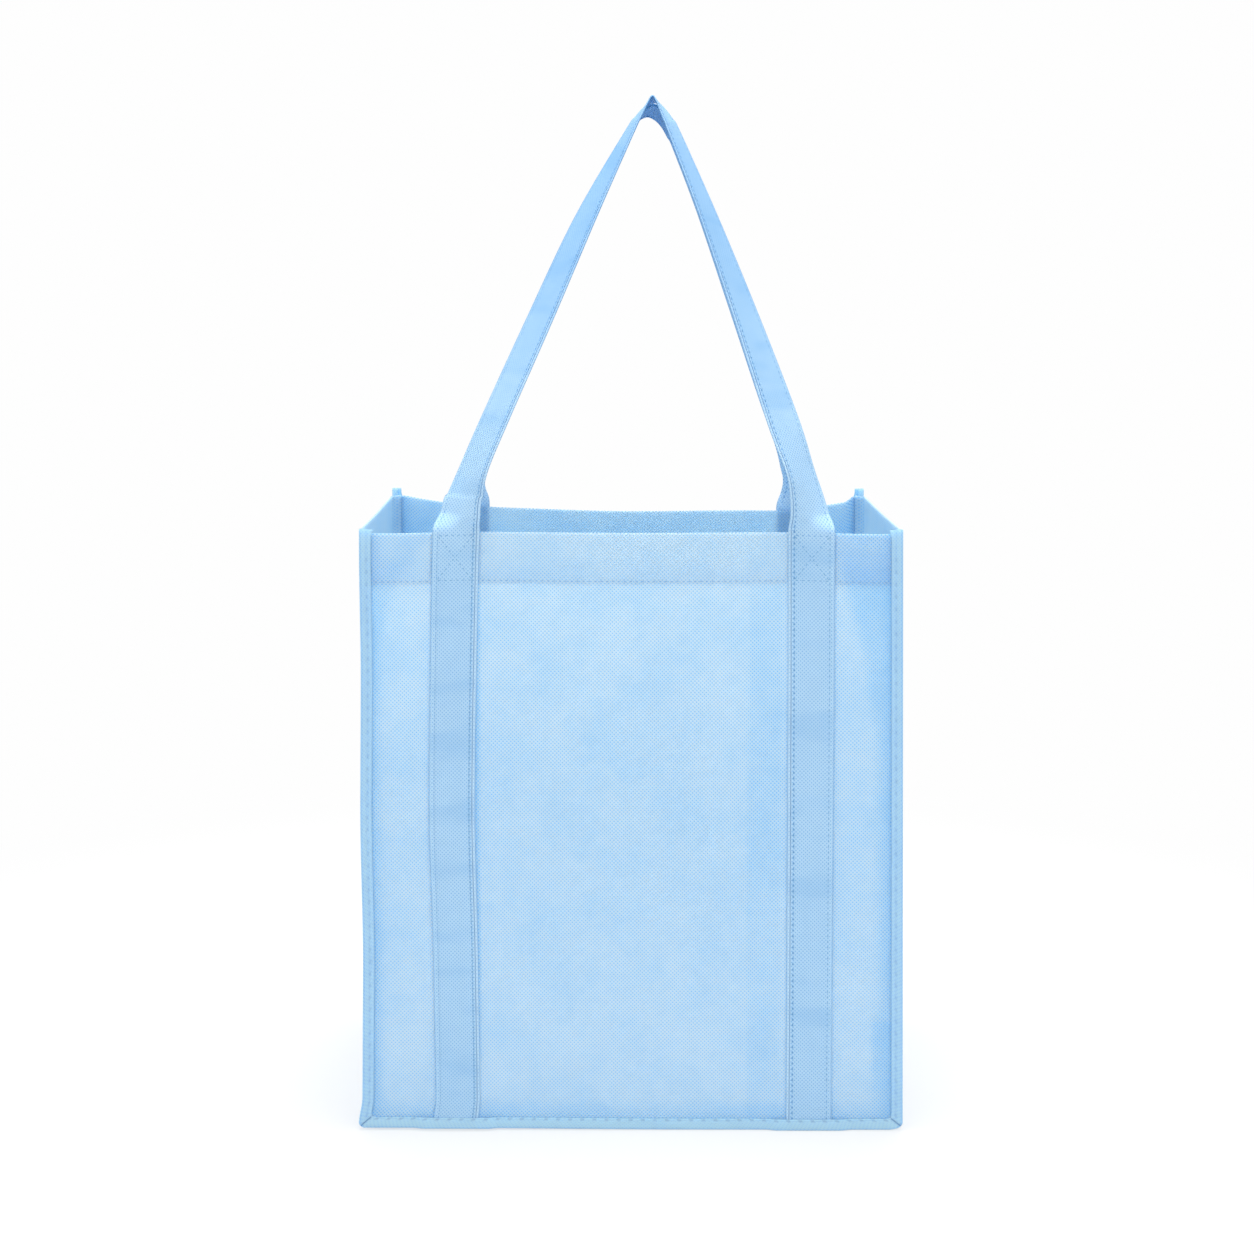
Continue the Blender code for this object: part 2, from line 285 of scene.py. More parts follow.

# Depth of colour, from 0 at the palest blue to 1 at the deepest. Past the single cloth's and
# the strap's own tone, these are painted light and shade: the hem, its top and the lower panel
# painted paler; painted shade along the seams, above the bottom, where the far strap shows
# through, under the straps and inside the gusset, and on the tape's sides, groove and fold;
# painted shade on a strap's raised loop and gathered top, and a painted highlight at its bend.
# A patch near the right foot is darker.
SINGLE_TONE = 0.085
LOW_PANEL_PAINTED_LIGHT = 0.06
HEM_TONE = 0.065
HEM_TOP_PAINTED_LIGHT = 0.05
SEAM_SHADE = 0.22
BOTTOM_SHADE = 0.15
STRAP_BEHIND_SHADOW = 0.07
FOOT_PATCH_TONE = 0.12
UNDER_STRAP_SHADE = 0.30
GUSSET_SHADED_TONE = SINGLE_TONE + 0.13
TAPE_SIDE_SHADE = 0.17
TAPE_GROOVE_SHADE = 0.20
TAPE_FOLD_SHADE = 0.50
STRAP_TONE = 0.28
STRAP_RAISED_SHADE_TONE = 0.47
STRAP_GATHERED_SHADE_TONE = 0.7
STRAP_BEND_HIGHLIGHT = (0.13, 0.07)

# How far painted shade darkens folds and edges, from 0 to 1.
MITRE_SHADE = 0.75
TAPE_EDGE_SHADE = 0.16
STRAP_FOLD_SHADE = 0.62
STRAP_EDGE_SHADE = 0.30
STRAP_RAISED_SHADE = 0.09
STRAP_OUTER_SHADE = 0.45
STRAP_GATHERED_SHADE = 0.42

# Pressed dots of the cloth: their spacing and depth, and how much painted shade they add to
# its colour where it is pale and where it is deep.
EMBOSS_PITCH = 0.0022
EMBOSS_DEPTH = 0.00016
DOT_SHADE_PALE = 0.70
DOT_SHADE_DEEP = 1.04

# Light, and the share of it that each cloth lets through.
SKY_STRENGTH = 0.74
LAMP_POWER = 18.0
PANEL_SEE_THROUGH = 0.62
TAPE_SEE_THROUGH = 0.35
STRAP_SEE_THROUGH = 0.10

# How much the soft bars across a strap deepen its colour.
STRAP_BANDS = 0.22


# Numbers and grids

def ease(t):
    """Rise from 0 to 1 with level ends: three times the square less twice the cube."""
    t = np.clip(t, 0.0, 1.0)
    return t * t * (3.0 - 2.0 * t)


def past(value, start, run):
    """Eased rise from 0 at the start to 1 a run further on."""
    return ease((value - start) / run)


def before(value, end, run):
    """Eased fall from 1 a run before the end to 0 at the end."""
    return ease((end - value) / run)


def bell(t):
    """A hump of height 1 at 0 that has all but gone at 2."""
    return np.exp(-t * t)


def hump(value, middle, width):
    """A bell round a middle."""
    return bell((value - middle) / width)


def unit(vectors):
    """Each vector divided by its length."""
    return vectors / np.maximum(np.linalg.norm(vectors, axis=-1, keepdims=True), 1e-12)


def run_length(points):
    """Distance along a row of points, from 0 at the first."""
    steps = np.linalg.norm(np.diff(points, axis=0), axis=-1)
    return np.concatenate([[0.0], np.cumsum(steps)])


def grid_corners(grid, closed=False):
    """The four corners of each cell of a grid of values, cell by cell."""
    if closed:
        grid = np.concatenate([grid, grid[:, :1]], axis=1)
    corners = [grid[:-1, :-1], grid[:-1, 1:], grid[1:, 1:], grid[1:, :-1]]
    return np.stack(corners, axis=2)


def surface_normals(points):
    """Unit normals of a grid of points: the run along a row crossed with the run down a column."""
    return unit(np.cross(np.gradient(points, axis=1), np.gradient(points, axis=0)))


# Shape of the tote

def seam_half(z):
    """Half the distance between the side seams at a height, which narrows evenly upwards."""
    return BASE_SEAM_HALF + (RIM_SEAM_HALF - BASE_SEAM_HALF) * z / HEIGHT


def ripple(across, up, seed):
    """Soft unevenness of slack cloth, from -1 to 1: three long crossed waves added up."""
    wave = np.sin(41.0 * across + 23.0 * up + seed)
    wave = wave + np.sin(67.0 * up - 31.0 * across + 2.3 * seed)
    wave = wave + 0.6 * np.sin(97.0 * across + 71.0 * up + 1.7 * seed)
    return wave / 2.6


def lean(x, z, face):
    """How far a large panel lies inside the plane of its seams.

    It leans in with a power of the height, easing to nothing at the side seams. A faint
    ripple is added away from the seams and the rim.
    """
    inside = seam_half(z) - TAPE_INNER_REACH - CLOTH - np.abs(x)
    rise = np.maximum(z, 0.0) / HEIGHT
    pulled = face["lean"] * ease(inside / LEAN_RAMP) * rise ** LEAN_POWER
    loose = ease(inside / 0.030) * ease(z / 0.030) * ease((HEIGHT - z) / 0.040)
    return pulled + RIPPLE * loose * ripple(x, z, face["seed"])


def rim_height(x, face):
    """Height of a large panel's top edge, which sags from its corners to its middle.

    rim_sag adds a bell next to the left corner, one at the left strap, and a fall that
    starts at the right corner and fades with a power of x.
    """
    strap = 0.5 * (face["strap_rims"][1] - face["strap_rims"][0])
    at_strap = ease((RIM_SEAM_HALF - np.abs(x)) / (RIM_SEAM_HALF - strap))
    in_middle = ease((strap - np.abs(x)) / strap)
    extra = face["drop_in_middle"] - face["drop_at_strap"]
    corner, at_left, right = face["rim_sag"]
    uneven = corner * hump(x, *SAG_AT_CORNER) + at_left * hump(x, *SAG_AT_STRAP)
    towards_right = np.clip(x / RIM_SEAM_HALF, 0.0, 1.0) ** SAG_RIGHT_POWER
    uneven = uneven + right * before(x, RIM_SEAM_HALF, SAG_RIGHT_RUN) * towards_right
    return HEIGHT - face["drop_at_strap"] * at_strap - extra * in_middle - uneven


def settle(points):
    """Points with the whole tote's unevenness added.

    The left seam is drawn in over the height of its lower third and stands out at the rim,
    both fading towards the middle. The front right foot rises with the distance past a line
    near it, and the left half of the front's lower edge rises a little.
    """
    x, y, z = np.moveaxis(points, -1, 0)
    body = z < HANDLES_ONLY_FROM
    leftness = ease(-x / BASE_SEAM_HALF) * body
    drawn = LEFT_DRAWN_IN * (1.0 - past(z, *DRAWN_IN_UP_TO)) * past(z, *DRAWN_IN_ABOVE)
    drawn = leftness * (drawn - LEFT_RIM_OUT * past(z, *RIM_OUT_ABOVE))
    drawn = drawn + RIGHT_OUT * past(x, *RIGHT_OUT_PAST) * body
    near = past(x, *FOOT_LIFT_PAST) * ease(1.0 - z / FOOT_LIFT_HEIGHT)
    left = before(x, *LEFT_FOOT_LIFT_BEFORE) * ease(1.0 - z / LEFT_FOOT_LIFT_HEIGHT)
    lift = (FOOT_LIFT * near + LEFT_FOOT_LIFT * left) * ease(-y / DEPTH)
    return np.stack([x + drawn, y, z + lift], axis=-1)


def trough(station, out):
    """Point in X and Z of the strip that runs down the left, along the bottom and up the right.

    station goes from 0 at the left rim to 1, 2, 3, 4 and 5 at the ends of the side, corner,
    bottom, corner and side. out is the distance outside the seam line. The legs are
    straight lines and the corners quarter circles.
    """
    from_end = np.where(station > 2.5, 5.0 - station, station)
    side = np.where(station > 2.5, 1.0, -1.0)
    low = SEAM_ALLOWANCE - out + CORNER_RADIUS
    wide = seam_half(low) + out - CORNER_RADIUS
    leg_z = HEIGHT - from_end * (HEIGHT - low)
    turn = 0.5 * np.pi * np.clip(from_end - 1.0, 0.0, 1.0)
    along = 1.0 - 2.0 * np.clip(from_end - 2.0, 0.0, 0.5)
    on_leg, on_corner = from_end <= 1.0, from_end <= 2.0
    x = np.select([on_leg, on_corner], [seam_half(leg_z) + out, wide + CORNER_RADIUS * np.cos(turn)],
                  wide * along)
    z = np.select([on_leg, on_corner], [leg_z, low - CORNER_RADIUS * np.sin(turn)],
                  SEAM_ALLOWANCE - out + 0.0 * along)
    return side * x, z


def trough_stations(start, side_count, corner_count, bottom_count):
    """Stations along the whole trough, the same from both ends."""
    left = np.concatenate([
        np.linspace(start, 1.0, side_count),
        np.linspace(1.0, 2.0, corner_count)[1:],
        np.linspace(2.0, 2.5, bottom_count)[1:],
    ])
    return np.concatenate([left, 5.0 - left[-2::-1]])


def gusset_depth(below_rim):
    """How far the side and bottom strip lies behind a panel in the seam, hems included."""
    return LAYER * (3.0 - 2.0 * ease((below_rim - HEM) / HEM_EASE))


def below_rim(station):
    """Depth below the rim of a station of the trough."""
    from_end = np.where(station > 2.5, 5.0 - station, station)
    return HEIGHT * np.clip(from_end, None, 1.0)


# Meshes

def shaped_mesh(name, vertices, faces, flat, marks):
    """A mesh from vertices, faces, the flat place of each face corner and values per vertex."""
    mesh = bpy.data.meshes.new(name)
    mesh.from_pydata(vertices.tolist(), [], faces)
    layer = mesh.uv_layers.new(name="flat")
    layer.data.foreach_set("uv", flat.ravel().astype(np.float32))
    for mark, values in marks.items():
        attribute = mesh.attributes.new(mark, "FLOAT", "POINT")
        attribute.data.foreach_set("value", values.ravel().astype(np.float32))
    mesh.shade_smooth()
    mesh.update()
    return mesh


def add_piece(name, mesh, material, slot, *nodes):
    """Link a finished mesh as a piece of the tote that rides on its only body."""
    piece = bpy.data.objects.new(name, mesh)
    bpy.context.scene.collection.objects.link(piece)
    mesh.materials.append(material)
    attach(piece, "root")
    if nodes:
        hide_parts(*nodes)
    return piece


def sheet_mesh(name, points, flat, marks):
    """An open sheet over a grid of points."""
    index = np.arange(points.shape[0] * points.shape[1]).reshape(points.shape[:2])
    faces = grid_corners(index).reshape(-1, 4).tolist()
    corners = grid_corners(flat).reshape(-1, 2)
    return shaped_mesh(name, points.reshape(-1, 3), faces, corners, marks)


def band_mesh(name, points, flat, marks):
    """A closed band: a grid whose columns run round a section, with its two ends capped.

    flat has one more column than points, so that the pattern doesn't run back at the join.
    """
    index = np.arange(points.shape[0] * points.shape[1]).reshape(points.shape[:2])
    faces = grid_corners(index, closed=True).reshape(-1, 4).tolist()
    faces += [index[0, ::-1].tolist(), index[-1].tolist()]
    corners = grid_corners(flat).reshape(-1, 2)
    caps = [flat[0, -2::-1], flat[-1, :-1]]
    return shaped_mesh(name, points.reshape(-1, 3), faces, np.vstack([corners] + caps), marks)


def thicken(piece, thickness):
    """Give a sheet its thickness, half to each side."""
    solidify = piece.modifiers.new("Thickness", "SOLIDIFY")
    solidify.thickness = thickness
    solidify.offset = 0.0
    solidify.use_even_offset = True


# Large panels

def hemmed_rows(body_count, hem_count):
    """Rows of a panel as (depth below the rim, offset inwards), up the face and down the hem.

    The top edge is folded in round a half circle.
    """
    turn = LAYER / 2
    foot = HEIGHT - (SEAM_ALLOWANCE - CUT_EDGE)
    body = np.linspace(foot, LAYER, body_count)
    body = np.sort(np.concatenate([body, HEM + np.array([-0.0004, 0.0004])]))[::-1]
    angle = np.linspace(0.0, np.pi, 7)
    hem = np.linspace(0.0, 1.0, hem_count)[1:] * (HEM - turn) + turn
    depth = np.concatenate([body, turn * (1.0 - np.sin(angle)), hem])
    inwards = np.concatenate([0.0 * body, turn * (1.0 - np.cos(angle)), LAYER + 0.0 * hem])
    return depth, inwards


def corner_shade(x, z, corner):
    """Painted shade of an upper corner: an eased edge along a curve that flares in with height."""
    rise = np.clip((z - corner["low"]) / corner["rise"], 0.0, 1.0)
    curve = corner["seam"] + corner["flare"] * rise ** corner["power"]
    outside = np.sign(corner["seam"]) * (x - curve)
    return ease(outside / 0.010 + 0.40) * (corner["pale"] + corner["more"] * rise)


def panel_tone_and_painted_light(x, z, face):
    """How deep a panel's colour is: mostly painted light and shade of the cloth close behind it.

    The folded hem is painted paler than the single cloth below it, and palest near the rim, and
    the lower panel is painted paler too. Painted shade deepens the colour outside a curve that
    leaves each side seam near mid height and flares in with a power of the height, along the
    side seams, above the bottom seam, under the straps, and faintly where the far strap's
    shadow shows through. A patch near the right foot is darker.
    """
    single = SINGLE_TONE - LOW_PANEL_PAINTED_LIGHT * before(z, *LOW_PANEL)
    hem = single - past(z, *HEM_LINE) * (single - HEM_TONE + HEM_TOP_PAINTED_LIGHT * past(z, *HEM_TOP))
    near_rim = past(z, *CORNERS_AT_RIM)
    left, right = (corner_shade(x, z, corner) * depth * (1.0 - corner["less_at_rim"] * near_rim)
                   for corner, depth in zip((LEFT_CORNER_SHADE, RIGHT_CORNER_SHADE), face["corner_depth"]))
    edge = SEAM_SHADE * bell((np.abs(x) - seam_half(z)) / 0.005)
    bottom = BOTTOM_SHADE * before(z, *NEAR_BOTTOM)
    strap_behind_shadow = STRAP_BEHIND_SHADOW * past(x, *STRAP_BEHIND_FROM) * before(z, *BELOW_HEM)
    strap_behind_shadow = strap_behind_shadow * before(x, *STRAP_BEHIND_TO)
    patch = FOOT_PATCH_TONE * past(x, *FOOT_PATCH_FROM) * before(z, *FOOT_PATCH_UP_TO) * ease(z / 0.05)
    under_strap = 0.0
    for foot, rim in zip(face["strap_feet"], face["strap_rims"]):
        from_middle = np.abs(x - foot - (rim - foot) * z / HEIGHT)
        under_strap = under_strap + UNDER_STRAP_SHADE * ease((STRAP_HALF - from_middle) / 0.002)
    return hem + left + right + edge + bottom + strap_behind_shadow + patch + under_strap


def panel_point(x, z, face, inwards=0.0):
    """Point on a large panel's middle surface, from its place across and its height."""
    y = -DEPTH / 2 + lean(x, z, face) + inwards
    return np.stack([x, -face["side"] * y, z], axis=-1)


def make_panel(name, face, material):
    """A large panel: one sheet with its top edge folded in as a hem."""
    depth, inwards = hemmed_rows(body_count=168, hem_count=16)
    foot = HEIGHT - (SEAM_ALLOWANCE - CUT_EDGE)
    u, depth = np.meshgrid(np.linspace(-1.0, 1.0, 147), depth)
    inwards = np.broadcast_to(inwards[:, None], u.shape)
    x = u * (seam_half(HEIGHT - depth) + CUT_EDGE)
    rim = rim_height(x, face)
    z = rim - depth * (rim - HEIGHT + foot) / foot
    points = panel_point(x, z, face, inwards)
    length = run_length(points[:, points.shape[1] // 2])
    flat = np.stack(np.broadcast_arrays(x, length[:, None]), axis=-1)
    marks = {"tone_and_painted_light": panel_tone_and_painted_light(x, z, face)}
    mesh = sheet_mesh(name, settle(points), flat, marks)
    piece = add_piece(name, mesh, material, "cloth", name.replace("_cloth", ""))
    thicken(piece, CLOTH)


# Side and bottom strip

def gusset_section(depth_in, rim_nearness):
    """Half section of the strip at each station: distance outside the seam, and depth in Y.

    A flat flange leads to a quarter-circle curl, then the wall swells out with an eased
    step and runs level to the middle of the tote. depth_in is the seam's depth.
    """
    flange_out = np.linspace(CUT_EDGE, CURL, 4)[:-1]
    angle = np.linspace(0.0, np.pi / 2, 5)
    wall = np.linspace(0.0, 1.0, 34)[1:] ** 1.35
    start_out = np.concatenate([flange_out, CURL - CURL * np.sin(angle), 0.0 * wall])
    start_behind = np.concatenate([0.0 * flange_out, CURL - CURL * np.cos(angle), CURL + 0.0 * wall])
    share = np.concatenate([0.0 * flange_out, 0.0 * angle, wall])
    into = share * (DEPTH / 2 - depth_in - CURL)
    reach = SWELL_DEPTH + (RIM_SWELL_DEPTH - SWELL_DEPTH) * rim_nearness
    swell = (WALL_SWELL + RIM_EXTRA_SWELL * rim_nearness) * ease(into / reach)
    return start_out + swell, start_behind + into + 0.0 * swell


def make_gusset(name, material):
    """The strip that forms both sides and the bottom, hemmed at its two ends.

    Its middle surface is the trough carried round the section. The hem is offset inwards,
    square to the section. The sides ripple softly between their seams, and bulge a little
    at the mouth behind the front seams.
    """
    turn = LAYER / 2
    angle = np.linspace(0.0, np.pi, 6)
    hem_depth = np.concatenate([turn * (1.0 - np.sin(angle)), np.linspace(0.1, 1.0, 9) * HEM])
    hem_in = np.concatenate([turn * (1.0 - np.cos(angle)), LAYER + np.zeros(9)])
    body = trough_stations(LAYER / HEIGHT, side_count=110, corner_count=9, bottom_count=50)
    hem = hem_depth / HEIGHT
    station = np.concatenate([hem[::-1], body, 5.0 - hem])[:, None]
    inwards = np.concatenate([hem_in[::-1], 0.0 * body, hem_in])[:, None]

    rim_nearness = ease((0.070 - below_rim(station)) / 0.050)
    seam_depth = gusset_depth(below_rim(station))
    out, behind = gusset_section(seam_depth, rim_nearness)
    run = unit(np.stack([np.gradient(out, axis=1), np.gradient(behind, axis=1)], axis=-1))
    out = out - run[..., 1] * inwards
    depth_y = DEPTH / 2 - seam_depth - behind - run[..., 0] * inwards

    x, z = trough(station, out)
    from_mid = np.clip(depth_y / (DEPTH / 2), 0.0, 1.0)
    halves = []
    for sign in (-1.0, 1.0):
        y = sign * depth_y
        slack = ease((1.0 - from_mid) / 0.3) * ease(z / 0.06) * ease((HEIGHT - z) / 0.05)
        bow = SIDE_RIPPLE * slack * ripple(y, z, 2.0 + np.sign(x))
        mouth = np.clip(-y / (DEPTH / 2), 0.0, 1.0) * ease((0.90 - from_mid) / 0.20) * rim_nearness
        out_x = np.abs(x) - np.abs(bow) + MOUTH_BULGE * mouth * ease((z - HEIGHT + 0.012) / 0.010)
        halves.append(np.stack([np.sign(x) * out_x, y, z], axis=-1))
    points = np.concatenate([halves[0], halves[1][:, -2::-1]], axis=1)

    middle = points.shape[1] // 2
    across = run_length(points[len(points) // 3])
    along = run_length(points[:, middle])
    flat = np.stack(np.broadcast_arrays(across[None, :], along[:, None]), axis=-1)
    z = points[..., 2]
    # Painted shade: the strip's inside is deeper in tone and darker near the seams, and its hem is painted
    # paler.
    near_seam = bell((np.abs(points[..., 1]) - DEPTH / 2) / 0.010)
    hem_tone = -0.10 * ease((z - (HEIGHT - HEM)) / 0.001)
    marks = {"tone_and_painted_light": GUSSET_SHADED_TONE + hem_tone + 0.10 * near_seam, "smooth": np.full(z.shape, 0.5)}
    mesh = sheet_mesh(name, settle(points), flat, marks)
    piece = add_piece(name, mesh, material, "cloth", "gusset")
    thicken(piece, CLOTH)


# Binding tapes

def strap_lift(x, face):
    """How far the bottom tape stands off where it runs over the ends of the straps."""
    feet = np.array(face["strap_feet"])
    nearest = np.abs(x[..., None] - feet).min(axis=-1)
    inside = STRAP_HALF + LIFT_REACH - nearest
    return (STRAP_THICKNESS + CLEARANCE) * ease(inside / LIFT_RAMP)


def tape_section():
    """Section of the tape: distance outside the seam, depth, and how far it is round the fold.

    The front leg runs out flat, turns two small quarter circles, and the back leg returns.
    """
    edge = SEAM_ALLOWANCE - CLOTH / 2
    turn = np.linspace(0.0, np.pi / 2, 4)
    legs = [
        (np.linspace(-TAPE_INNER_REACH, edge - TAPE_ROUNDING, 15)[:-1], -LAYER, 0.0),
        (edge - TAPE_ROUNDING * (1.0 - np.sin(turn)), TAPE_ROUNDING * (1.0 - np.cos(turn)) - LAYER, 0.0),
        (edge - TAPE_ROUNDING * (1.0 - np.cos(turn)), LAYER - TAPE_ROUNDING * (1.0 - np.sin(turn)), 1.0),
        (np.linspace(edge - TAPE_ROUNDING, TAPE_BACK_REACH, 6)[1:], LAYER, 1.0),
    ]
    parts = [np.broadcast_arrays(*leg) for leg in legs]
    return [np.concatenate([part[k] for part in parts]) for k in range(3)]


def tape_stitch_line(station):
    """Where the seam's stitches run across the tape, nearer its free edge along the bottom."""
    from_end = np.where(station > 2.5, 5.0 - station, station)
    shift = ease(from_end - 1.0)
    return TAPE_STITCH_SIDE + (TAPE_STITCH_BOTTOM - TAPE_STITCH_SIDE) * shift


def tape_along(station):
    """Distance along the seam line from the left rim, read off finely spaced stations."""
    fine = trough_stations(-0.02, side_count=400, corner_count=40, bottom_count=200)
    length = run_length(np.stack(trough(fine, 0.0 * fine), axis=-1))
    return np.interp(station, fine, length)


def tape_point(station, out, depth, behind, face):
    """Point on the tape's middle surface; behind is 0 on its front leg and 1 on its back leg.

    The front leg is drawn down in a furrow along its stitches, deepest at the needle
    holes, its free edge is scalloped between them, and a crease crosses each corner.
    """
    phase = 2.0 * np.pi * tape_along(station) / TAPE_PITCH
    front = 1.0 - behind
    free_edge = ease((TAPE_STITCH_BOTTOM - out) / 0.0012)
    out = out - TAPE_SCALLOP * front * free_edge * (1.0 - np.cos(phase)) * 0.5
    standing = ease(0.5 - below_rim(station) / 0.006)
    out = out - face["tape_end_flare"] * standing * ease((0.0010 - out) / 0.0027)
    furrow = bell((out - tape_stitch_line(station)) / 0.0007) * (0.6 + 0.4 * np.cos(phase))
    from_end = np.where(station > 2.5, 5.0 - station, station)
    mitre = bell((from_end - 1.5) / 0.10)
    x, z = trough(station, out)
    depth = depth + behind * gusset_depth(below_rim(station)) + front * (0.00012 * furrow + 0.0004 * mitre)
    depth = depth - front * ease((from_end - 2.0) / 0.01) * strap_lift(x, face)
    return np.stack([x, face["side"] * (DEPTH / 2 - depth), z], axis=-1)


def make_binding(name, face, material):
    """The tape folded round the seam, down one side, along the bottom and up the other."""
    out, depth, behind = tape_section()
    start = -face["tape_stands_up"] / HEIGHT
    station = trough_stations(start, side_count=250, corner_count=17, bottom_count=110)[:, None]
    points = tape_point(station, out[None, :], depth[None, :], behind[None, :], face)
    across = run_length(points[len(points) // 5])
    flat = np.stack(np.broadcast_arrays(across[None, :], tape_along(station)), axis=-1)
    from_end = np.where(station > 2.5, 5.0 - station, station)
    groove = bell((out - tape_stitch_line(station)) / 0.0007) * (1.0 - behind)
    on_side = 1.0 - ease(from_end - 1.0)
    mitre = bell((from_end - 1.5) / 0.10) * ease((out + 0.002) / 0.001)
    standing = ease(1.0 - below_rim(station) / 0.02)
    free_edge = bell((out + TAPE_INNER_REACH) / 0.0005) * (1.0 - behind)
    fold = bell((out - SEAM_ALLOWANCE + 0.0008) / 0.0003) * (1.0 - behind)
    # Painted shade: deeper on the side legs, in the stitch groove and along the fold, with darker mitres,
    # free edges and needle holes, and less where the tape stands past the rim.
    marks = {
        "tone_and_painted_light": TAPE_SIDE_SHADE * on_side * (1.0 - 0.5 * standing) + TAPE_GROOVE_SHADE * groove * on_side
        + TAPE_FOLD_SHADE * fold,
        "crease_shade": np.clip(MITRE_SHADE * mitre + TAPE_EDGE_SHADE * free_edge * on_side, 0.0, 1.0),
        "needle_hole_shade": groove * (0.35 - 0.15 * on_side) * (1.0 - standing),
        "smooth": np.full(points.shape[:2], 0.7),
    }
    mesh = sheet_mesh(name, settle(points), flat, marks)
    piece = add_piece(name, mesh, material, "binding_tape", name.replace("_tape", ""))
    thicken(piece, CLOTH)


# Straps

def smooth_through(points, per_span):
    """Catmull-Rom curve: each span is the cubic whose end slopes are half its neighbours' chord."""
    ends = np.vstack([2.0 * points[0] - points[1], points, 2.0 * points[-1] - points[-2]])
    a, b, c, d = (ends[k:len(ends) - 3 + k, None] for k in range(4))
    t = (np.arange(per_span) / per_span)[None, :, None]
    curve = 0.5 * (2.0 * b + (c - a) * t + (2.0 * a - 5.0 * b + 4.0 * c - d) * t ** 2
                   + (3.0 * b - a - 3.0 * c + d) * t ** 3)
    return np.vstack([curve.reshape(-1, points.shape[1]), points[-1:]])


def sewn_strap(across, z, end, face):
    """Middle of the strap's thickness on the front panel, carried straight on above the rim.

    end is 0 for the left half of the strap and 1 for the right half. Between foot and rim
    its middle is a straight line, bowed sideways by a half sine of a power of the height.
    """
    off = CLOTH / 2 + CLEARANCE + STRAP_THICKNESS / 2
    feet, rims = np.array(face["strap_feet"])[end], np.array(face["strap_rims"])[end]
    inner = 1.0 - 2.0 * end
    rise = np.clip(z / HEIGHT, 0.0, 1.0)
    bow = np.array(face["strap_bow"])[end] * np.sin(np.pi * rise ** 1.3)
    x = feet + (rims - feet) * rise + bow + across * inner * STRAP_HALF
    return np.stack([x, -DEPTH / 2 + lean(x, z, face) - off, z + 0.0 * x], axis=-1)


def loop_edges(face):
    """Smooth rows of x and height for the two edges of the free loop, outward one first."""
    rims = np.array(face["strap_rims"])
    start = rim_height(rims, face) + LOOP_START
    ends = np.stack([rims + STRAP_HALF * np.array([1.0, -1.0]), start,
                     rims - STRAP_HALF * np.array([1.0, -1.0]), start], axis=-1)
    return smooth_through(np.vstack([ends[:1], np.array(face["loop"]), ends[1:]]), ROWS_PER_SPAN)


def strap_table(face):
    """The strap's middle surface as a fine grid, for a strap on the front side.

    Sewn rows follow the panel. A free row is a straight line between the loop's two edges.
    Its middle leans in with a power of the height, and the edges lie as far apart in depth
    as the strap's width leaves over from their distance in x and height. The two are
    blended just above the rim.
    """
    out_x, out_z, in_x, in_z = loop_edges(face).T
    z = 0.5 * (out_z + in_z)
    end = (np.arange(len(z)) > np.argmax(z)).astype(int)
    start_y = sewn_strap(0.0, HEIGHT + 0.0 * z, end, face)[:, 1]
    rise = np.clip((z - HEIGHT) / (LOOP_TOP - HEIGHT), 0.0, 1.0)
    y = start_y + (-LOOP_TOP_FROM_MIDDLE - start_y) * rise ** LOOP_LEAN_POWER
    in_plane = 0.25 * ((out_x - in_x) ** 2 + (out_z - in_z) ** 2)
    left_over = np.sqrt(np.maximum(STRAP_HALF ** 2 - in_plane, 0.0))
    outward_edge = np.stack([out_x, y - left_over, out_z], axis=-1)
    other_edge = np.stack([in_x, y + left_over, in_z], axis=-1)
    centre = 0.5 * (outward_edge + other_edge)
    reach = 0.5 * (outward_edge - other_edge)
    rim = rim_height(np.array(face["strap_rims"])[end], face)
    release = ease((z - rim - LOOP_START) / LOOP_RELEASE)[:, None, None]

    across = np.linspace(-1.0, 1.0, 25)
    sewn = sewn_strap(across[None, :], z[:, None], end[:, None], face)
    free = centre[:, None] + reach[:, None] * across[None, :, None]
    loop = sewn + (free - sewn) * release
    legs = []
    for side in (0, 1):
        top = rim_height(face["strap_rims"][side], face) - CLEARANCE
        heights = np.linspace(STRAP_FOOT, top, SEWN_ROWS)[:, None]
        sides = np.full(heights.shape, side)
        legs.append(sewn_strap(across[None, :], heights, sides, face))
    return np.concatenate([legs[0], loop, legs[1][::-1]])


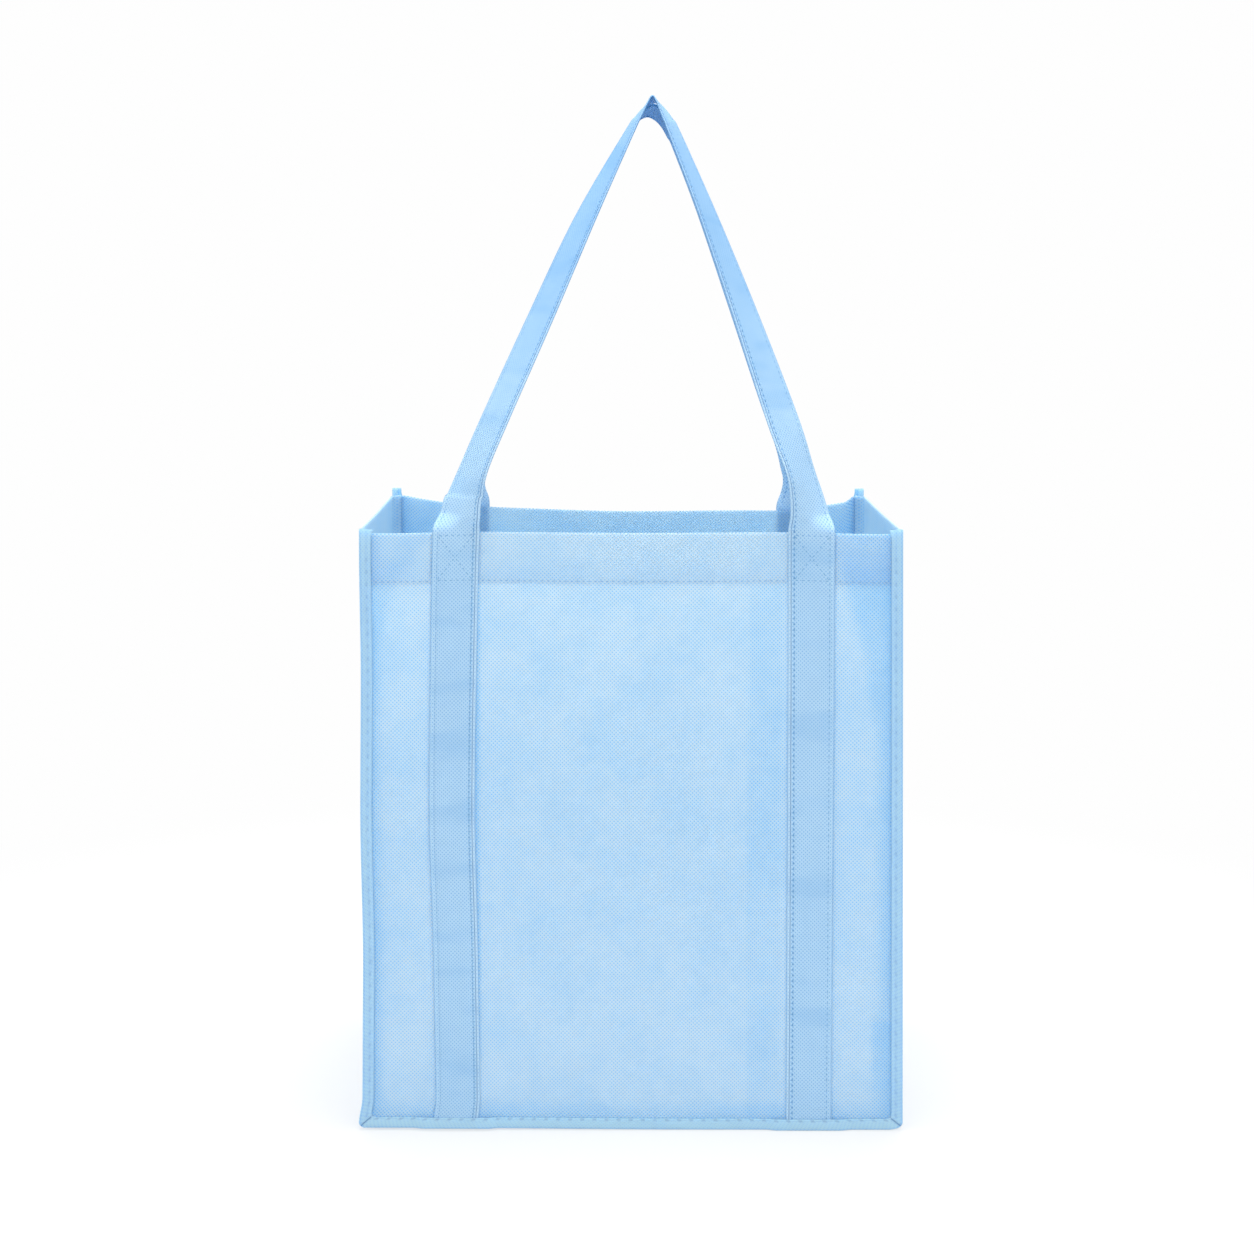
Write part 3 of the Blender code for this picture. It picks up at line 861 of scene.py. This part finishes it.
class Strap:
    """One handle strap, whose surfaces are read by distance along it and place across it."""

    def __init__(self, face):
        self.face = face
        self.table = strap_table(face)
        self.length = run_length(self.table[:, self.table.shape[1] // 2])
        self.normals = surface_normals(self.table)

    def read(self, grid, along, across):
        """Straight-line reading of a grid between its rows and columns."""
        row = np.interp(along, self.length, np.arange(len(self.length)))
        column = (np.asarray(across) + 1.0) * 0.5 * (grid.shape[1] - 1)
        row, column = np.broadcast_arrays(row, column)
        i = np.clip(row.astype(int), 0, grid.shape[0] - 2)
        j = np.clip(column.astype(int), 0, grid.shape[1] - 2)
        s, t = (row - i)[..., None], (column - j)[..., None]
        near = grid[i, j] * (1.0 - t) + grid[i, j + 1] * t
        far = grid[i + 1, j] * (1.0 - t) + grid[i + 1, j + 1] * t
        return near * (1.0 - s) + far * s

    def place(self, along, across, off):
        """Point at a distance off the strap's middle, on the side of its tote."""
        point = self.read(self.table, along, across)
        point = point + unit(self.read(self.normals, along, across)) * np.asarray(off)[..., None]
        return point * np.array([1.0, -self.face["side"], 1.0])

    def facing(self, along, across):
        """Direction square to the strap's outer face."""
        normal = unit(self.read(self.normals, along, across))
        return normal * np.array([1.0, -self.face["side"], 1.0])

    def at_height(self, height, end):
        """Distance along the strap of a height on its left or right sewn leg."""
        z = self.table[:, self.table.shape[1] // 2, 2]
        rows = np.arange(len(z))
        legs = rows < SEWN_ROWS if end == 0 else rows >= len(z) - SEWN_ROWS
        order = np.argsort(z[legs])
        return float(np.interp(height, z[legs][order], self.length[legs][order]))


def strap_section():
    """Section of the folded strap as (place across in metres, distance off its middle).

    It runs over the top from the outer fold to the inner edge, where the upper fold stops
    short of the lower one, and back underneath. Both long faces dip along the stitches.
    """
    half, thick = STRAP_HALF, STRAP_THICKNESS / 2
    turn = np.linspace(0.0, np.pi, 7)
    top = np.concatenate([
        np.linspace(-half + thick, -STRAP_STITCH_OUTER - 0.0012, 4)[:-1],
        np.linspace(-STRAP_STITCH_OUTER - 0.0012, -STRAP_STITCH_OUTER + 0.0012, 7)[:-1],
        np.linspace(-STRAP_STITCH_OUTER + 0.0012, STRAP_STITCH_INNER - 0.0012, 12)[:-1],
        np.linspace(STRAP_STITCH_INNER - 0.0012, STRAP_FOLD_STEP - 0.0002, 9),
    ])
    crown = 0.00012 * (1.0 - (top / half) ** 2)
    dips = bell((top + STRAP_STITCH_OUTER) / 0.0005) + bell((top - STRAP_STITCH_INNER) / 0.0005)
    step = np.array([
        (STRAP_FOLD_STEP - 0.00003, thick - 0.00010),
        (STRAP_FOLD_STEP, thick - 0.00030),
        (STRAP_FOLD_STEP + 0.00012, thick - 0.00042),
        (STRAP_FOLD_STEP + 0.00032, thick - 0.00016),
        (half - 0.00100, thick - 0.00002),
        (half - 0.00050, thick - 0.00012),
        (half - 0.00018, thick - 0.00030),
        (half, thick - 0.00055),
        (half - 0.00012, -thick + 0.00020),
        (half - 0.00040, -thick),
    ])
    bottom = np.linspace(half - 0.0012, -half + thick, 14)
    outer = np.stack([-half + thick - thick * np.sin(turn), -thick * np.cos(turn)], axis=-1)[1:-1]
    across = np.concatenate([top, step[:, 0], bottom, outer[:, 0]])
    off = np.concatenate([thick + crown, step[:, 1], -thick + 0.0 * bottom, outer[:, 1]])
    dip = np.concatenate([dips, np.zeros(len(step) + len(bottom) + len(outer))])
    return across, off, dip


def make_strap(name, face, material):
    """One long folded strap: up the panel, round the handle and down the panel again.

    Its section is carried along the strap's middle surface, and sunk along the stitches by
    a cosine of the distance along. The raised part has painted shade, the bend at the rim a
    painted highlight, and the gathered underside of the top the deepest painted shadow.
    """
    strap = Strap(face)
    across, off, dip = strap_section()
    if face["side"] > 0.0:
        across, off, dip = across[::-1], off[::-1], dip[::-1]
    count = int(strap.length[-1] / (STRAP_PITCH / 3.0))
    along = np.linspace(0.0, strap.length[-1], count)[:, None]
    phase = 2.0 * np.pi * along / STRAP_PITCH
    sunk = 0.00018 * dip[None, :] * (0.65 + 0.35 * np.cos(phase))
    points = strap.place(along, across[None, :] / STRAP_HALF, off[None, :] - sunk)
    girth = run_length(np.stack([across, off], axis=-1))
    girth = np.append(girth, 2.0 * girth[-1] - girth[-2])
    flat = np.stack(np.broadcast_arrays(girth[None, :], along), axis=-1)
    # Painted shade on the fold step, the edges, the stitch grooves, the raised loop and the gathered
    # underside of its top; painted highlights on the lips and at the bend.
    edge = bell((across - STRAP_FOLD_STEP) / 0.00022) * (off > 0.0)
    lips = ease((np.abs(across) - STRAP_STITCH_OUTER) / 0.0008) * (off > -0.0001)
    inner = across > 0.0
    z = points[..., 2]
    groove_shade = dip * (0.06 + 0.10 * inner)
    lip_highlight = lips * (0.06 + 0.24 * inner)
    bend_highlight = hump(z, *STRAP_BEND) * np.where(points[..., 0] < 0.0, *STRAP_BEND_HIGHLIGHT)
    gathered_shadow = past(z, *GATHERED_ABOVE) * (off < 0.0)
    raised_shade = past(z, *RAISED_ABOVE)
    outer_edge = bell((across + STRAP_HALF - 0.0005) / 0.0006)
    rim_line = bell((np.abs(across) - STRAP_HALF) / 0.00025)
    crease_shade = STRAP_FOLD_SHADE * edge + STRAP_EDGE_SHADE * rim_line
    crease_shade = crease_shade + raised_shade * (STRAP_RAISED_SHADE + STRAP_OUTER_SHADE * outer_edge)
    marks = {
        "tone_and_painted_light": STRAP_TONE + groove_shade - lip_highlight - bend_highlight
        + STRAP_RAISED_SHADE_TONE * raised_shade + STRAP_GATHERED_SHADE_TONE * gathered_shadow,
        "crease_shade": crease_shade + STRAP_GATHERED_SHADE * gathered_shadow,
        "smooth": past(z, *PLAIN_ABOVE),
        "needle_hole_shade": np.broadcast_to(dip * (0.20 + 0.40 * inner), points.shape[:2]),
    }
    mesh = band_mesh(name, settle(points), flat, marks)
    piece = add_piece(name, mesh, material, "strap", name.replace("_webbing", ""))
    return strap


# Sewing

def stitch_row(starts, ends, normals, rise):
    """Rings of short thread rods, one for each stitch, bowed off the cloth by a half sine."""
    t = np.linspace(0.0, 1.0, STITCH_RINGS)
    run = ends - starts
    side = unit(np.cross(run, normals))
    up = unit(np.cross(side, run))
    arch = np.sin(np.pi * t)
    centre = starts[:, None] + run[:, None] * t[None, :, None]
    centre = centre + up[:, None] * (rise * arch - 0.4 * THREAD_RADIUS)[None, :, None]
    ring = THREAD_RADIUS * (0.6 + 0.4 * arch)[None, :, None, None]
    angle = 2.0 * np.pi * np.arange(STITCH_SIDES) / STITCH_SIDES
    around = (np.cos(angle)[None, :, None] * side[:, None]
              + np.sin(angle)[None, :, None] * up[:, None])
    return centre[:, :, None] + ring * around[:, None]


def stitches_between(holes, normals, rise=0.00010, fill=0.80):
    """Stitches from hole to hole along a line, each a little shorter than its pitch."""
    middle = 0.5 * (holes[1:] + holes[:-1])
    half = 0.5 * fill * (holes[1:] - holes[:-1])
    return stitch_row(middle - half, middle + half, normals[:-1], rise)


def make_thread(name, rows, material):
    """All the stitches of one seam as one piece of many small closed rods.

    rows are pairs of the rods of a line of stitches and how deeply they are pulled in,
    from 0 to 1, which sets the painted shade on them.
    """
    rods = settle(np.concatenate([line for line, _ in rows]))
    sunk = np.concatenate([np.full(line.shape[:-1], depth) for line, depth in rows])
    count = len(rods)
    size = STITCH_RINGS * STITCH_SIDES
    ring_index = np.arange(size).reshape(STITCH_RINGS, STITCH_SIDES)
    walls = grid_corners(ring_index, closed=True).reshape(-1, 4)
    shift = (np.arange(count) * size)[:, None, None]
    faces = (walls[None, :, ::-1] + shift).reshape(-1, 4).tolist()
    caps = np.stack([ring_index[0], ring_index[-1, ::-1]])
    faces += (caps[None] + shift).reshape(-1, STITCH_SIDES).tolist()
    t = np.linspace(0.0, 1.0, STITCH_RINGS)[:, None]
    angle = (np.arange(STITCH_SIDES + 1) / STITCH_SIDES)[None, :]
    flat = np.stack(np.broadcast_arrays(angle * 0.0012, t * STRAP_PITCH), axis=-1)
    wall_flat = np.tile(grid_corners(flat).reshape(-1, 2), (count, 1))
    cap_flat = np.zeros((2 * count * STITCH_SIDES, 2))
    corners = np.vstack([wall_flat, cap_flat])
    mesh = shaped_mesh(name, rods.reshape(-1, 3), faces, corners, {"sunk": sunk})
    return add_piece(name, mesh, material, "thread")


def strap_line(strap, start, end, offset, fill):
    """Stitches on the strap between two (distance along, place across) points."""
    steps = np.hypot(end[0] - start[0], end[1] - start[1])
    count = max(int(round(steps / STRAP_PITCH)), 1)
    along = np.linspace(start[0], end[0], count + 1)
    across = np.linspace(start[1], end[1], count + 1) / STRAP_HALF
    sign = np.sign(offset)
    holes = strap.place(along, across, np.full(count + 1, offset))
    return stitches_between(holes, sign * strap.facing(along, across), fill=fill)


def sew_strap(name, strap, material):
    """Both edges of the strap, front and back of its free loop, and the crossed boxes at the rim."""
    face = strap.face
    total = float(strap.length[-1])
    top = STRAP_THICKNESS / 2 - 0.00012
    rows = []
    # Each line's place across, share of its pitch and painted shade; the inner line is shaded deepest.
    lines = ((STRAP_STITCH_INNER, 0.60, 1.0), (-STRAP_STITCH_OUTER, 0.42, 0.80))
    for across, fill, sunk in lines:
        rows.append((strap_line(strap, (0.0, across), (total, across), top, fill), sunk))
    rims = [float(rim_height(x, face)) for x in face["strap_rims"]]
    loop = [strap.at_height(rims[0], 0) + 0.004, strap.at_height(rims[1], 1) - 0.004]
    for across, fill, sunk in lines:
        line = strap_line(strap, (loop[0], across), (loop[1], across), -STRAP_THICKNESS / 2, fill)
        rows.append((line, sunk))
    for end, rim in enumerate(rims):
        low = strap.at_height(HEIGHT - HEM + HEM_STITCH_UP, end)
        high = strap.at_height(rim - 0.0014, end)
        left, right = -STRAP_STITCH_OUTER, STRAP_STITCH_INNER
        corners = [(low, left), (low, right), (high, left), (high, right)]
        for a, b in ((0, 1), (2, 3), (0, 3), (1, 2)):
            rows.append((strap_line(strap, corners[a], corners[b], top + 0.00024, 0.45), 0.80))
    make_thread(name, rows, material)


def sew_tape(name, face, material):
    """The seam's stitches on the front leg of a tape, one from each needle hole to the next."""
    station = trough_stations(0.004, side_count=4000, corner_count=40, bottom_count=3000)
    along = tape_along(station)
    holes = np.arange(math.ceil(along[0] / TAPE_PITCH), int(along[-1] / TAPE_PITCH)) * TAPE_PITCH
    station = np.interp(holes, along, station)
    out = tape_stitch_line(station)
    zero = 0.0 * station
    points = tape_point(station, out, -LAYER + zero, zero, face)
    outward = np.zeros(points.shape)
    outward[:, 1] = face["side"]
    points = points + outward * (CLOTH / 2)
    # Faint painted shade on the tape's stitches.
    make_thread(name, [(stitches_between(points, outward, rise=0.00012, fill=0.62), 0.1)], material)


def sew_hem(name, face, material):
    """One line of stitches along a panel's hem, seen outside and in, between the straps and seams."""
    rows = []
    z = HEIGHT - HEM + HEM_STITCH_UP
    centres = [float(sewn_strap(0.0, z, end, face)[0]) for end in (0, 1)]
    reach = STRAP_HALF + 0.001
    edge = float(seam_half(z)) - TAPE_INNER_REACH - 0.001
    left, right = centres
    spans = [(-edge, left - reach), (left + reach, right - reach), (right + reach, edge)]
    for start, end in spans:
        x = np.linspace(start, end, max(int((end - start) / STRAP_PITCH), 1) + 1)
        height = z + rim_height(x, face) - HEIGHT
        outward = np.zeros((len(x), 3))
        outward[:, 1] = face["side"]
        outside = panel_point(x, height, face) + outward * (CLOTH / 2)
        inside = panel_point(x, height, face, LAYER) - outward * (CLOTH / 2)
        # Painted shade on the hem's stitches.
        rows.append((stitches_between(outside, outward, rise=0.00006, fill=0.42), 0.60))
        rows.append((stitches_between(inside, -outward, rise=0.00006, fill=0.42), 0.60))
    make_thread(name, rows, material)


# Materials

class Nodes:
    """Short way of writing a material's node tree."""

    def __init__(self, name):
        self.material = bpy.data.materials.new(name)
        self.material.use_nodes = True
        self.tree = self.material.node_tree
        self.tree.nodes.clear()

    def add(self, kind, settings=None, **inputs):
        """A new node; an input's name has _ for each space."""
        node = self.tree.nodes.new("ShaderNode" + kind)
        for key, value in (settings or {}).items():
            setattr(node, key, value)
        for key, value in inputs.items():
            self.put(node, key.replace("_", " "), value)
        return node

    def put(self, node, key, value):
        """Link another node's socket into an input, or set the input's value."""
        socket = node.inputs[int(key) if key.isdigit() else key]
        if isinstance(value, bpy.types.NodeSocket):
            self.tree.links.new(value, socket)
        else:
            socket.default_value = value

    def math(self, operation, first, second=0.0):
        """One sum, product or function of numbers."""
        node = self.add("Math", {"operation": operation})
        self.put(node, "0", first)
        self.put(node, "1", second)
        return node.outputs[0]

    def fade(self, value, start, end, low=0.0, high=1.0):
        """Eased map of a value's range start to end onto low to high."""
        node = self.add("MapRange", {"interpolation_type": "SMOOTHSTEP"})
        for key, number in zip(("Value", "From Min", "From Max", "To Min", "To Max"),
                               (value, start, end, low, high)):
            self.put(node, key, number)
        return node.outputs[0]

    def mix(self, kind, factor, first, second):
        """Two colours mixed by a factor."""
        node = self.add("Mix", {"data_type": "RGBA", "blend_type": kind})
        self.put(node, "0", factor)
        self.put(node, "6", first)
        self.put(node, "7", second)
        return node.outputs[2]

    def noise(self, vector, scale, detail=3.0, stretch=(1.0, 1.0, 1.0)):
        """Cloudy noise, which may be finer along one axis than another."""
        mapping = self.add("Mapping", Vector=vector, Scale=stretch)
        node = self.add("TexNoise", Vector=mapping.outputs[0], Scale=scale, Detail=detail)
        return node.outputs[0]


def opaque(colour):
    """A colour with an alpha of 1."""
    return (*colour, 1.0)


def cloth_material(name, colours, needle_pitch, bands=0.0, see_through=PANEL_SEE_THROUGH):
    """Non-woven cloth: a staggered lattice of pressed dots over cloudy felted fibres.

    Light shows through it a little. An attribute of tone and painted light and shade deepens
    its colour from the first to the second of colours, and the dots, which paint shade into
    their pits, show more where it is deep. Painted crease shade darkens folds, and painted
    shade darkens the needle holes along a seam, which are needle_pitch apart. bands is the
    strength of the soft bars across a strap.
    """
    nodes = Nodes(name)
    flat = nodes.add("UVMap", {"uv_map": "flat"}).outputs[0]
    split = nodes.add("SeparateXYZ", Vector=flat)
    waves = []
    for place in (split.outputs[0], split.outputs[1]):
        angle = nodes.math("MULTIPLY", place, 2.0 * math.pi / EMBOSS_PITCH)
        waves.append(nodes.math("COSINE", angle))
    lattice = nodes.math("MULTIPLY", waves[0], waves[1])
    dots = nodes.fade(lattice, 0.10, 0.75)

    cloud = nodes.noise(flat, 30.0, 4.0)
    wisps = nodes.noise(flat, 150.0, 5.0)
    fibres = nodes.noise(flat, 1100.0, 3.0)
    # Tone and painted light and shade from the mesh, with cloudy mottling of the fibres.
    tone_and_painted_light = nodes.add("Attribute", {"attribute_name": "tone_and_painted_light"}).outputs["Fac"]
    tone = nodes.math("ADD", tone_and_painted_light, nodes.fade(cloud, 0.30, 0.75, -0.04, 0.07))
    tone = nodes.math("ADD", tone, nodes.fade(wisps, 0.30, 0.75, -0.03, 0.04))
    if bands:
        bars = nodes.noise(flat, 26.0, 2.0, (0.35, 1.6, 1.0))
        tone = nodes.math("ADD", tone, nodes.fade(bars, 0.50, 0.66, 0.0, bands))
    smooth = nodes.add("Attribute", {"attribute_name": "smooth"}).outputs["Fac"]
    # Painted shade in the pressed dots, stronger where the tone is deep and less where the cloth is
    # smooth.
    contrast = nodes.fade(tone_and_painted_light, 0.0, 0.35, DOT_SHADE_PALE, DOT_SHADE_DEEP)
    contrast = nodes.math("MULTIPLY", contrast, nodes.fade(smooth, 0.0, 1.0, 1.0, 0.30))
    tone = nodes.math("ADD", tone, nodes.math("MULTIPLY", dots, contrast))
    tone = nodes.add("Clamp", Value=tone, Min=0.0, Max=1.0).outputs[0]
    base = nodes.mix("MIX", tone, opaque(colours[0]), opaque(colours[1]))
    # Painted shade in folds and edges, and in the needle holes along a seam.
    crease_shade = nodes.add("Attribute", {"attribute_name": "crease_shade"}).outputs["Fac"]
    needle_hole_shade = nodes.add("Attribute", {"attribute_name": "needle_hole_shade"}).outputs["Fac"]
    angle = nodes.math("MULTIPLY", split.outputs[1], 2.0 * math.pi / needle_pitch)
    holes = nodes.fade(nodes.math("COSINE", angle), 0.1, 0.9)
    dark = nodes.math("ADD", crease_shade, nodes.math("MULTIPLY", needle_hole_shade, holes))
    dark = nodes.add("Clamp", Value=dark, Min=0.0, Max=1.0).outputs[0]
    base = nodes.mix("MIX", dark, base, opaque(PAINTED_SHADE_BLUE))

    height = nodes.math("MULTIPLY", dots, -1.0)
    height = nodes.math("ADD", height, nodes.math("MULTIPLY", fibres, 0.15))
    strength = nodes.fade(smooth, 0.0, 1.0, 0.7, 0.1)
    bump = nodes.add("Bump", Strength=strength, Distance=EMBOSS_DEPTH, Height=height)
    shine = nodes.fade(fibres, 0.3, 0.7, 0.66, 0.82)
    shine = nodes.math("ADD", shine, nodes.math("MULTIPLY", dots, -0.16))
    cloth = nodes.add("BsdfPrincipled", Base_Color=base, Roughness=shine, Normal=bump.outputs[0])
    cloth.inputs["Specular IOR Level"].default_value = 0.25
    through = nodes.add("BsdfTranslucent", Color=base, Normal=bump.outputs[0])
    both = nodes.add("MixShader", Fac=see_through)
    nodes.put(both, "1", cloth.outputs[0])
    nodes.put(both, "2", through.outputs[0])
    output = nodes.add("OutputMaterial")
    nodes.put(output, "Surface", both.outputs[0])
    return nodes.material


def thread_material(name):
    """Spun sewing thread: slanted plies along each stitch, with painted shade where it is pulled in deep.
    """
    nodes = Nodes(name)
    flat = nodes.add("UVMap", {"uv_map": "flat"}).outputs[0]
    split = nodes.add("SeparateXYZ", Vector=flat)
    slanted = nodes.math("ADD", nodes.math("MULTIPLY", split.outputs[0], PLIES_ACROSS),
                         nodes.math("MULTIPLY", split.outputs[1], PLIES_ALONG))
    plies = nodes.math("SINE", slanted)
    place = nodes.add("TexCoord").outputs["Object"]
    shade = nodes.noise(place, 90.0, 2.0)
    tone = nodes.fade(plies, -1.0, 1.0, 0.20, 0.0)
    tone = nodes.math("ADD", tone, nodes.fade(shade, 0.3, 0.7, 0.0, 0.15))
    base = nodes.mix("MIX", tone, opaque(THREAD_BLUE), opaque(DEEP_BLUE))
    sunk = nodes.add("Attribute", {"attribute_name": "sunk"}).outputs["Fac"]
    base = nodes.mix("MIX", sunk, base, opaque(SUNK_SHADE_BLUE))
    bump = nodes.add("Bump", Strength=0.5, Distance=0.00005, Height=plies)
    thread = nodes.add("BsdfPrincipled", Base_Color=base, Roughness=0.55, Normal=bump.outputs[0])
    output = nodes.add("OutputMaterial")
    nodes.put(output, "Surface", thread.outputs[0])
    return nodes.material


# Studio

def studio_material():
    """White floor: the camera sees a soft shadow near the tote, and plain white further off."""
    nodes = Nodes("studio_white")
    light_path = nodes.add("LightPath")
    plain = nodes.add("BsdfDiffuse", Color=opaque((0.80, 0.80, 0.80)))
    shadowed = nodes.add("BsdfDiffuse", Color=opaque((0.36, 0.36, 0.36)))
    glow = nodes.add("Emission", Color=opaque((0.61, 0.61, 0.61)), Strength=1.0)
    near = nodes.add("AddShader")
    nodes.put(near, "0", shadowed.outputs[0])
    nodes.put(near, "1", glow.outputs[0])
    white = nodes.add("Emission", Color=opaque(STUDIO_WHITE), Strength=1.0)
    place = nodes.add("TexCoord").outputs["Object"]
    distance = nodes.add("VectorMath", {"operation": "LENGTH"})
    nodes.put(distance, "0", place)
    seen = nodes.add("MixShader", Fac=nodes.fade(distance.outputs["Value"], 0.25, 0.75))
    nodes.put(seen, "1", near.outputs[0])
    nodes.put(seen, "2", white.outputs[0])
    chosen = nodes.add("MixShader", Fac=light_path.outputs["Is Camera Ray"])
    nodes.put(chosen, "1", plain.outputs[0])
    nodes.put(chosen, "2", seen.outputs[0])
    output = nodes.add("OutputMaterial")
    nodes.put(output, "Surface", chosen.outputs[0])
    return nodes.material


def make_studio():
    """A wide white floor, a white sky and large soft lamps."""
    mesh = bpy.data.meshes.new("studio_floor")
    reach = 12.0
    floor_z = -0.0004
    corners = [(x * reach, y * reach, floor_z) for x, y in ((-1, -1), (1, -1), (1, 1), (-1, 1))]
    mesh.from_pydata(corners, [], [(0, 1, 2, 3)])
    mesh.materials.append(studio_material())
    floor = bpy.data.objects.new("studio_floor", mesh)
    bpy.context.scene.collection.objects.link(floor)

    world = bpy.data.worlds.new("studio_sky")
    bpy.context.scene.world = world
    world.use_nodes = True
    tree = world.node_tree
    tree.nodes.clear()
    light_path = tree.nodes.new("ShaderNodeLightPath")
    sky = tree.nodes.new("ShaderNodeBackground")
    sky.inputs["Color"].default_value = (1.0, 1.0, 1.0, 1.0)
    sky.inputs["Strength"].default_value = SKY_STRENGTH
    seen = tree.nodes.new("ShaderNodeBackground")
    seen.inputs["Color"].default_value = (*STUDIO_WHITE, 1.0)
    seen.inputs["Strength"].default_value = 1.0
    chosen = tree.nodes.new("ShaderNodeMixShader")
    output = tree.nodes.new("ShaderNodeOutputWorld")
    tree.links.new(light_path.outputs["Is Camera Ray"], chosen.inputs[0])
    tree.links.new(sky.outputs[0], chosen.inputs[1])
    tree.links.new(seen.outputs[0], chosen.inputs[2])
    tree.links.new(chosen.outputs[0], output.inputs["Surface"])

    # Each lamp's place, width and power.
    lamps = {
        "key_lamp": ((-1.3, -2.6, 1.1), 1.8, 0.60 * LAMP_POWER),
        "fill_lamp": ((1.6, -2.4, 0.45), 1.8, 0.60 * LAMP_POWER),
        "back_lamp": ((0.4, 2.4, 1.2), 1.8, 1.0 * LAMP_POWER),
        "top_lamp": ((0.0, 0.0, 1.9), 0.9, 1.25 * LAMP_POWER),
    }
    for name, (place, size, power) in lamps.items():
        data = bpy.data.lights.new(name, "AREA")
        data.size = size
        data.energy = power
        lamp = bpy.data.objects.new(name, data)
        bpy.context.scene.collection.objects.link(lamp)
        aim_at(lamp, place, (0.0, 0.0, 0.22))


def aim_at(thing, place, target):
    """Put a lamp in place with its -Z axis on the target."""
    from_to = np.array(target) - np.array(place)
    thing.location = place
    pitch = math.acos(-from_to[2] / np.linalg.norm(from_to))
    thing.rotation_euler = (pitch, 0.0, math.atan2(-from_to[0], from_to[1]))


def make_camera():
    """The photograph's view: just above the rim, a little left of the middle."""
    data = bpy.data.cameras.new("photo_camera")
    data.sensor_width = 36.0
    data.lens = 65.55
    data.shift_x = 0.015
    data.shift_y = -0.09
    camera = bpy.data.objects.new("photo_camera", data)
    camera.location = (-0.0137, -1.3837, 0.5121)
    camera.rotation_euler = (math.radians(83.30), math.radians(-0.082), 0.0)
    bpy.context.scene.collection.objects.link(camera)
    bpy.context.scene.camera = camera


def main():
    """Camera and studio, then the cloth, tape, strap and stitches of each face, and the gusset."""
    make_camera()
    make_studio()
    panel_cloth = cloth_material("panel_cloth", (PANEL_BLUE, DEEP_BLUE), STRAP_PITCH)
    tape_cloth = cloth_material("tape_cloth", (TAPE_BLUE, TAPE_DEEP_BLUE), TAPE_PITCH,
                                see_through=TAPE_SEE_THROUGH)
    strap_cloth = cloth_material("strap_cloth", (STRAP_BLUE, STRAP_DEEP_BLUE), STRAP_PITCH,
                                 bands=STRAP_BANDS, see_through=STRAP_SEE_THROUGH)
    thread = thread_material("spun_thread")
    for side, face in (("front", FRONT), ("back", BACK)):
        make_panel(side + "_panel_cloth", face, panel_cloth)
        make_binding(side + "_binding_tape", face, tape_cloth)
        strap = make_strap(side + "_strap_webbing", face, strap_cloth)
        sew_strap(side + "_strap_stitches", strap, thread)
        sew_tape(side + "_tape_stitches", face, thread)
        sew_hem(side + "_hem_stitches", face, thread)
    make_gusset("gusset_cloth", panel_cloth)


main()
bpy.context.scene.cycles.diffuse_bounces = 12
bpy.context.scene.view_settings.view_transform = "Standard"
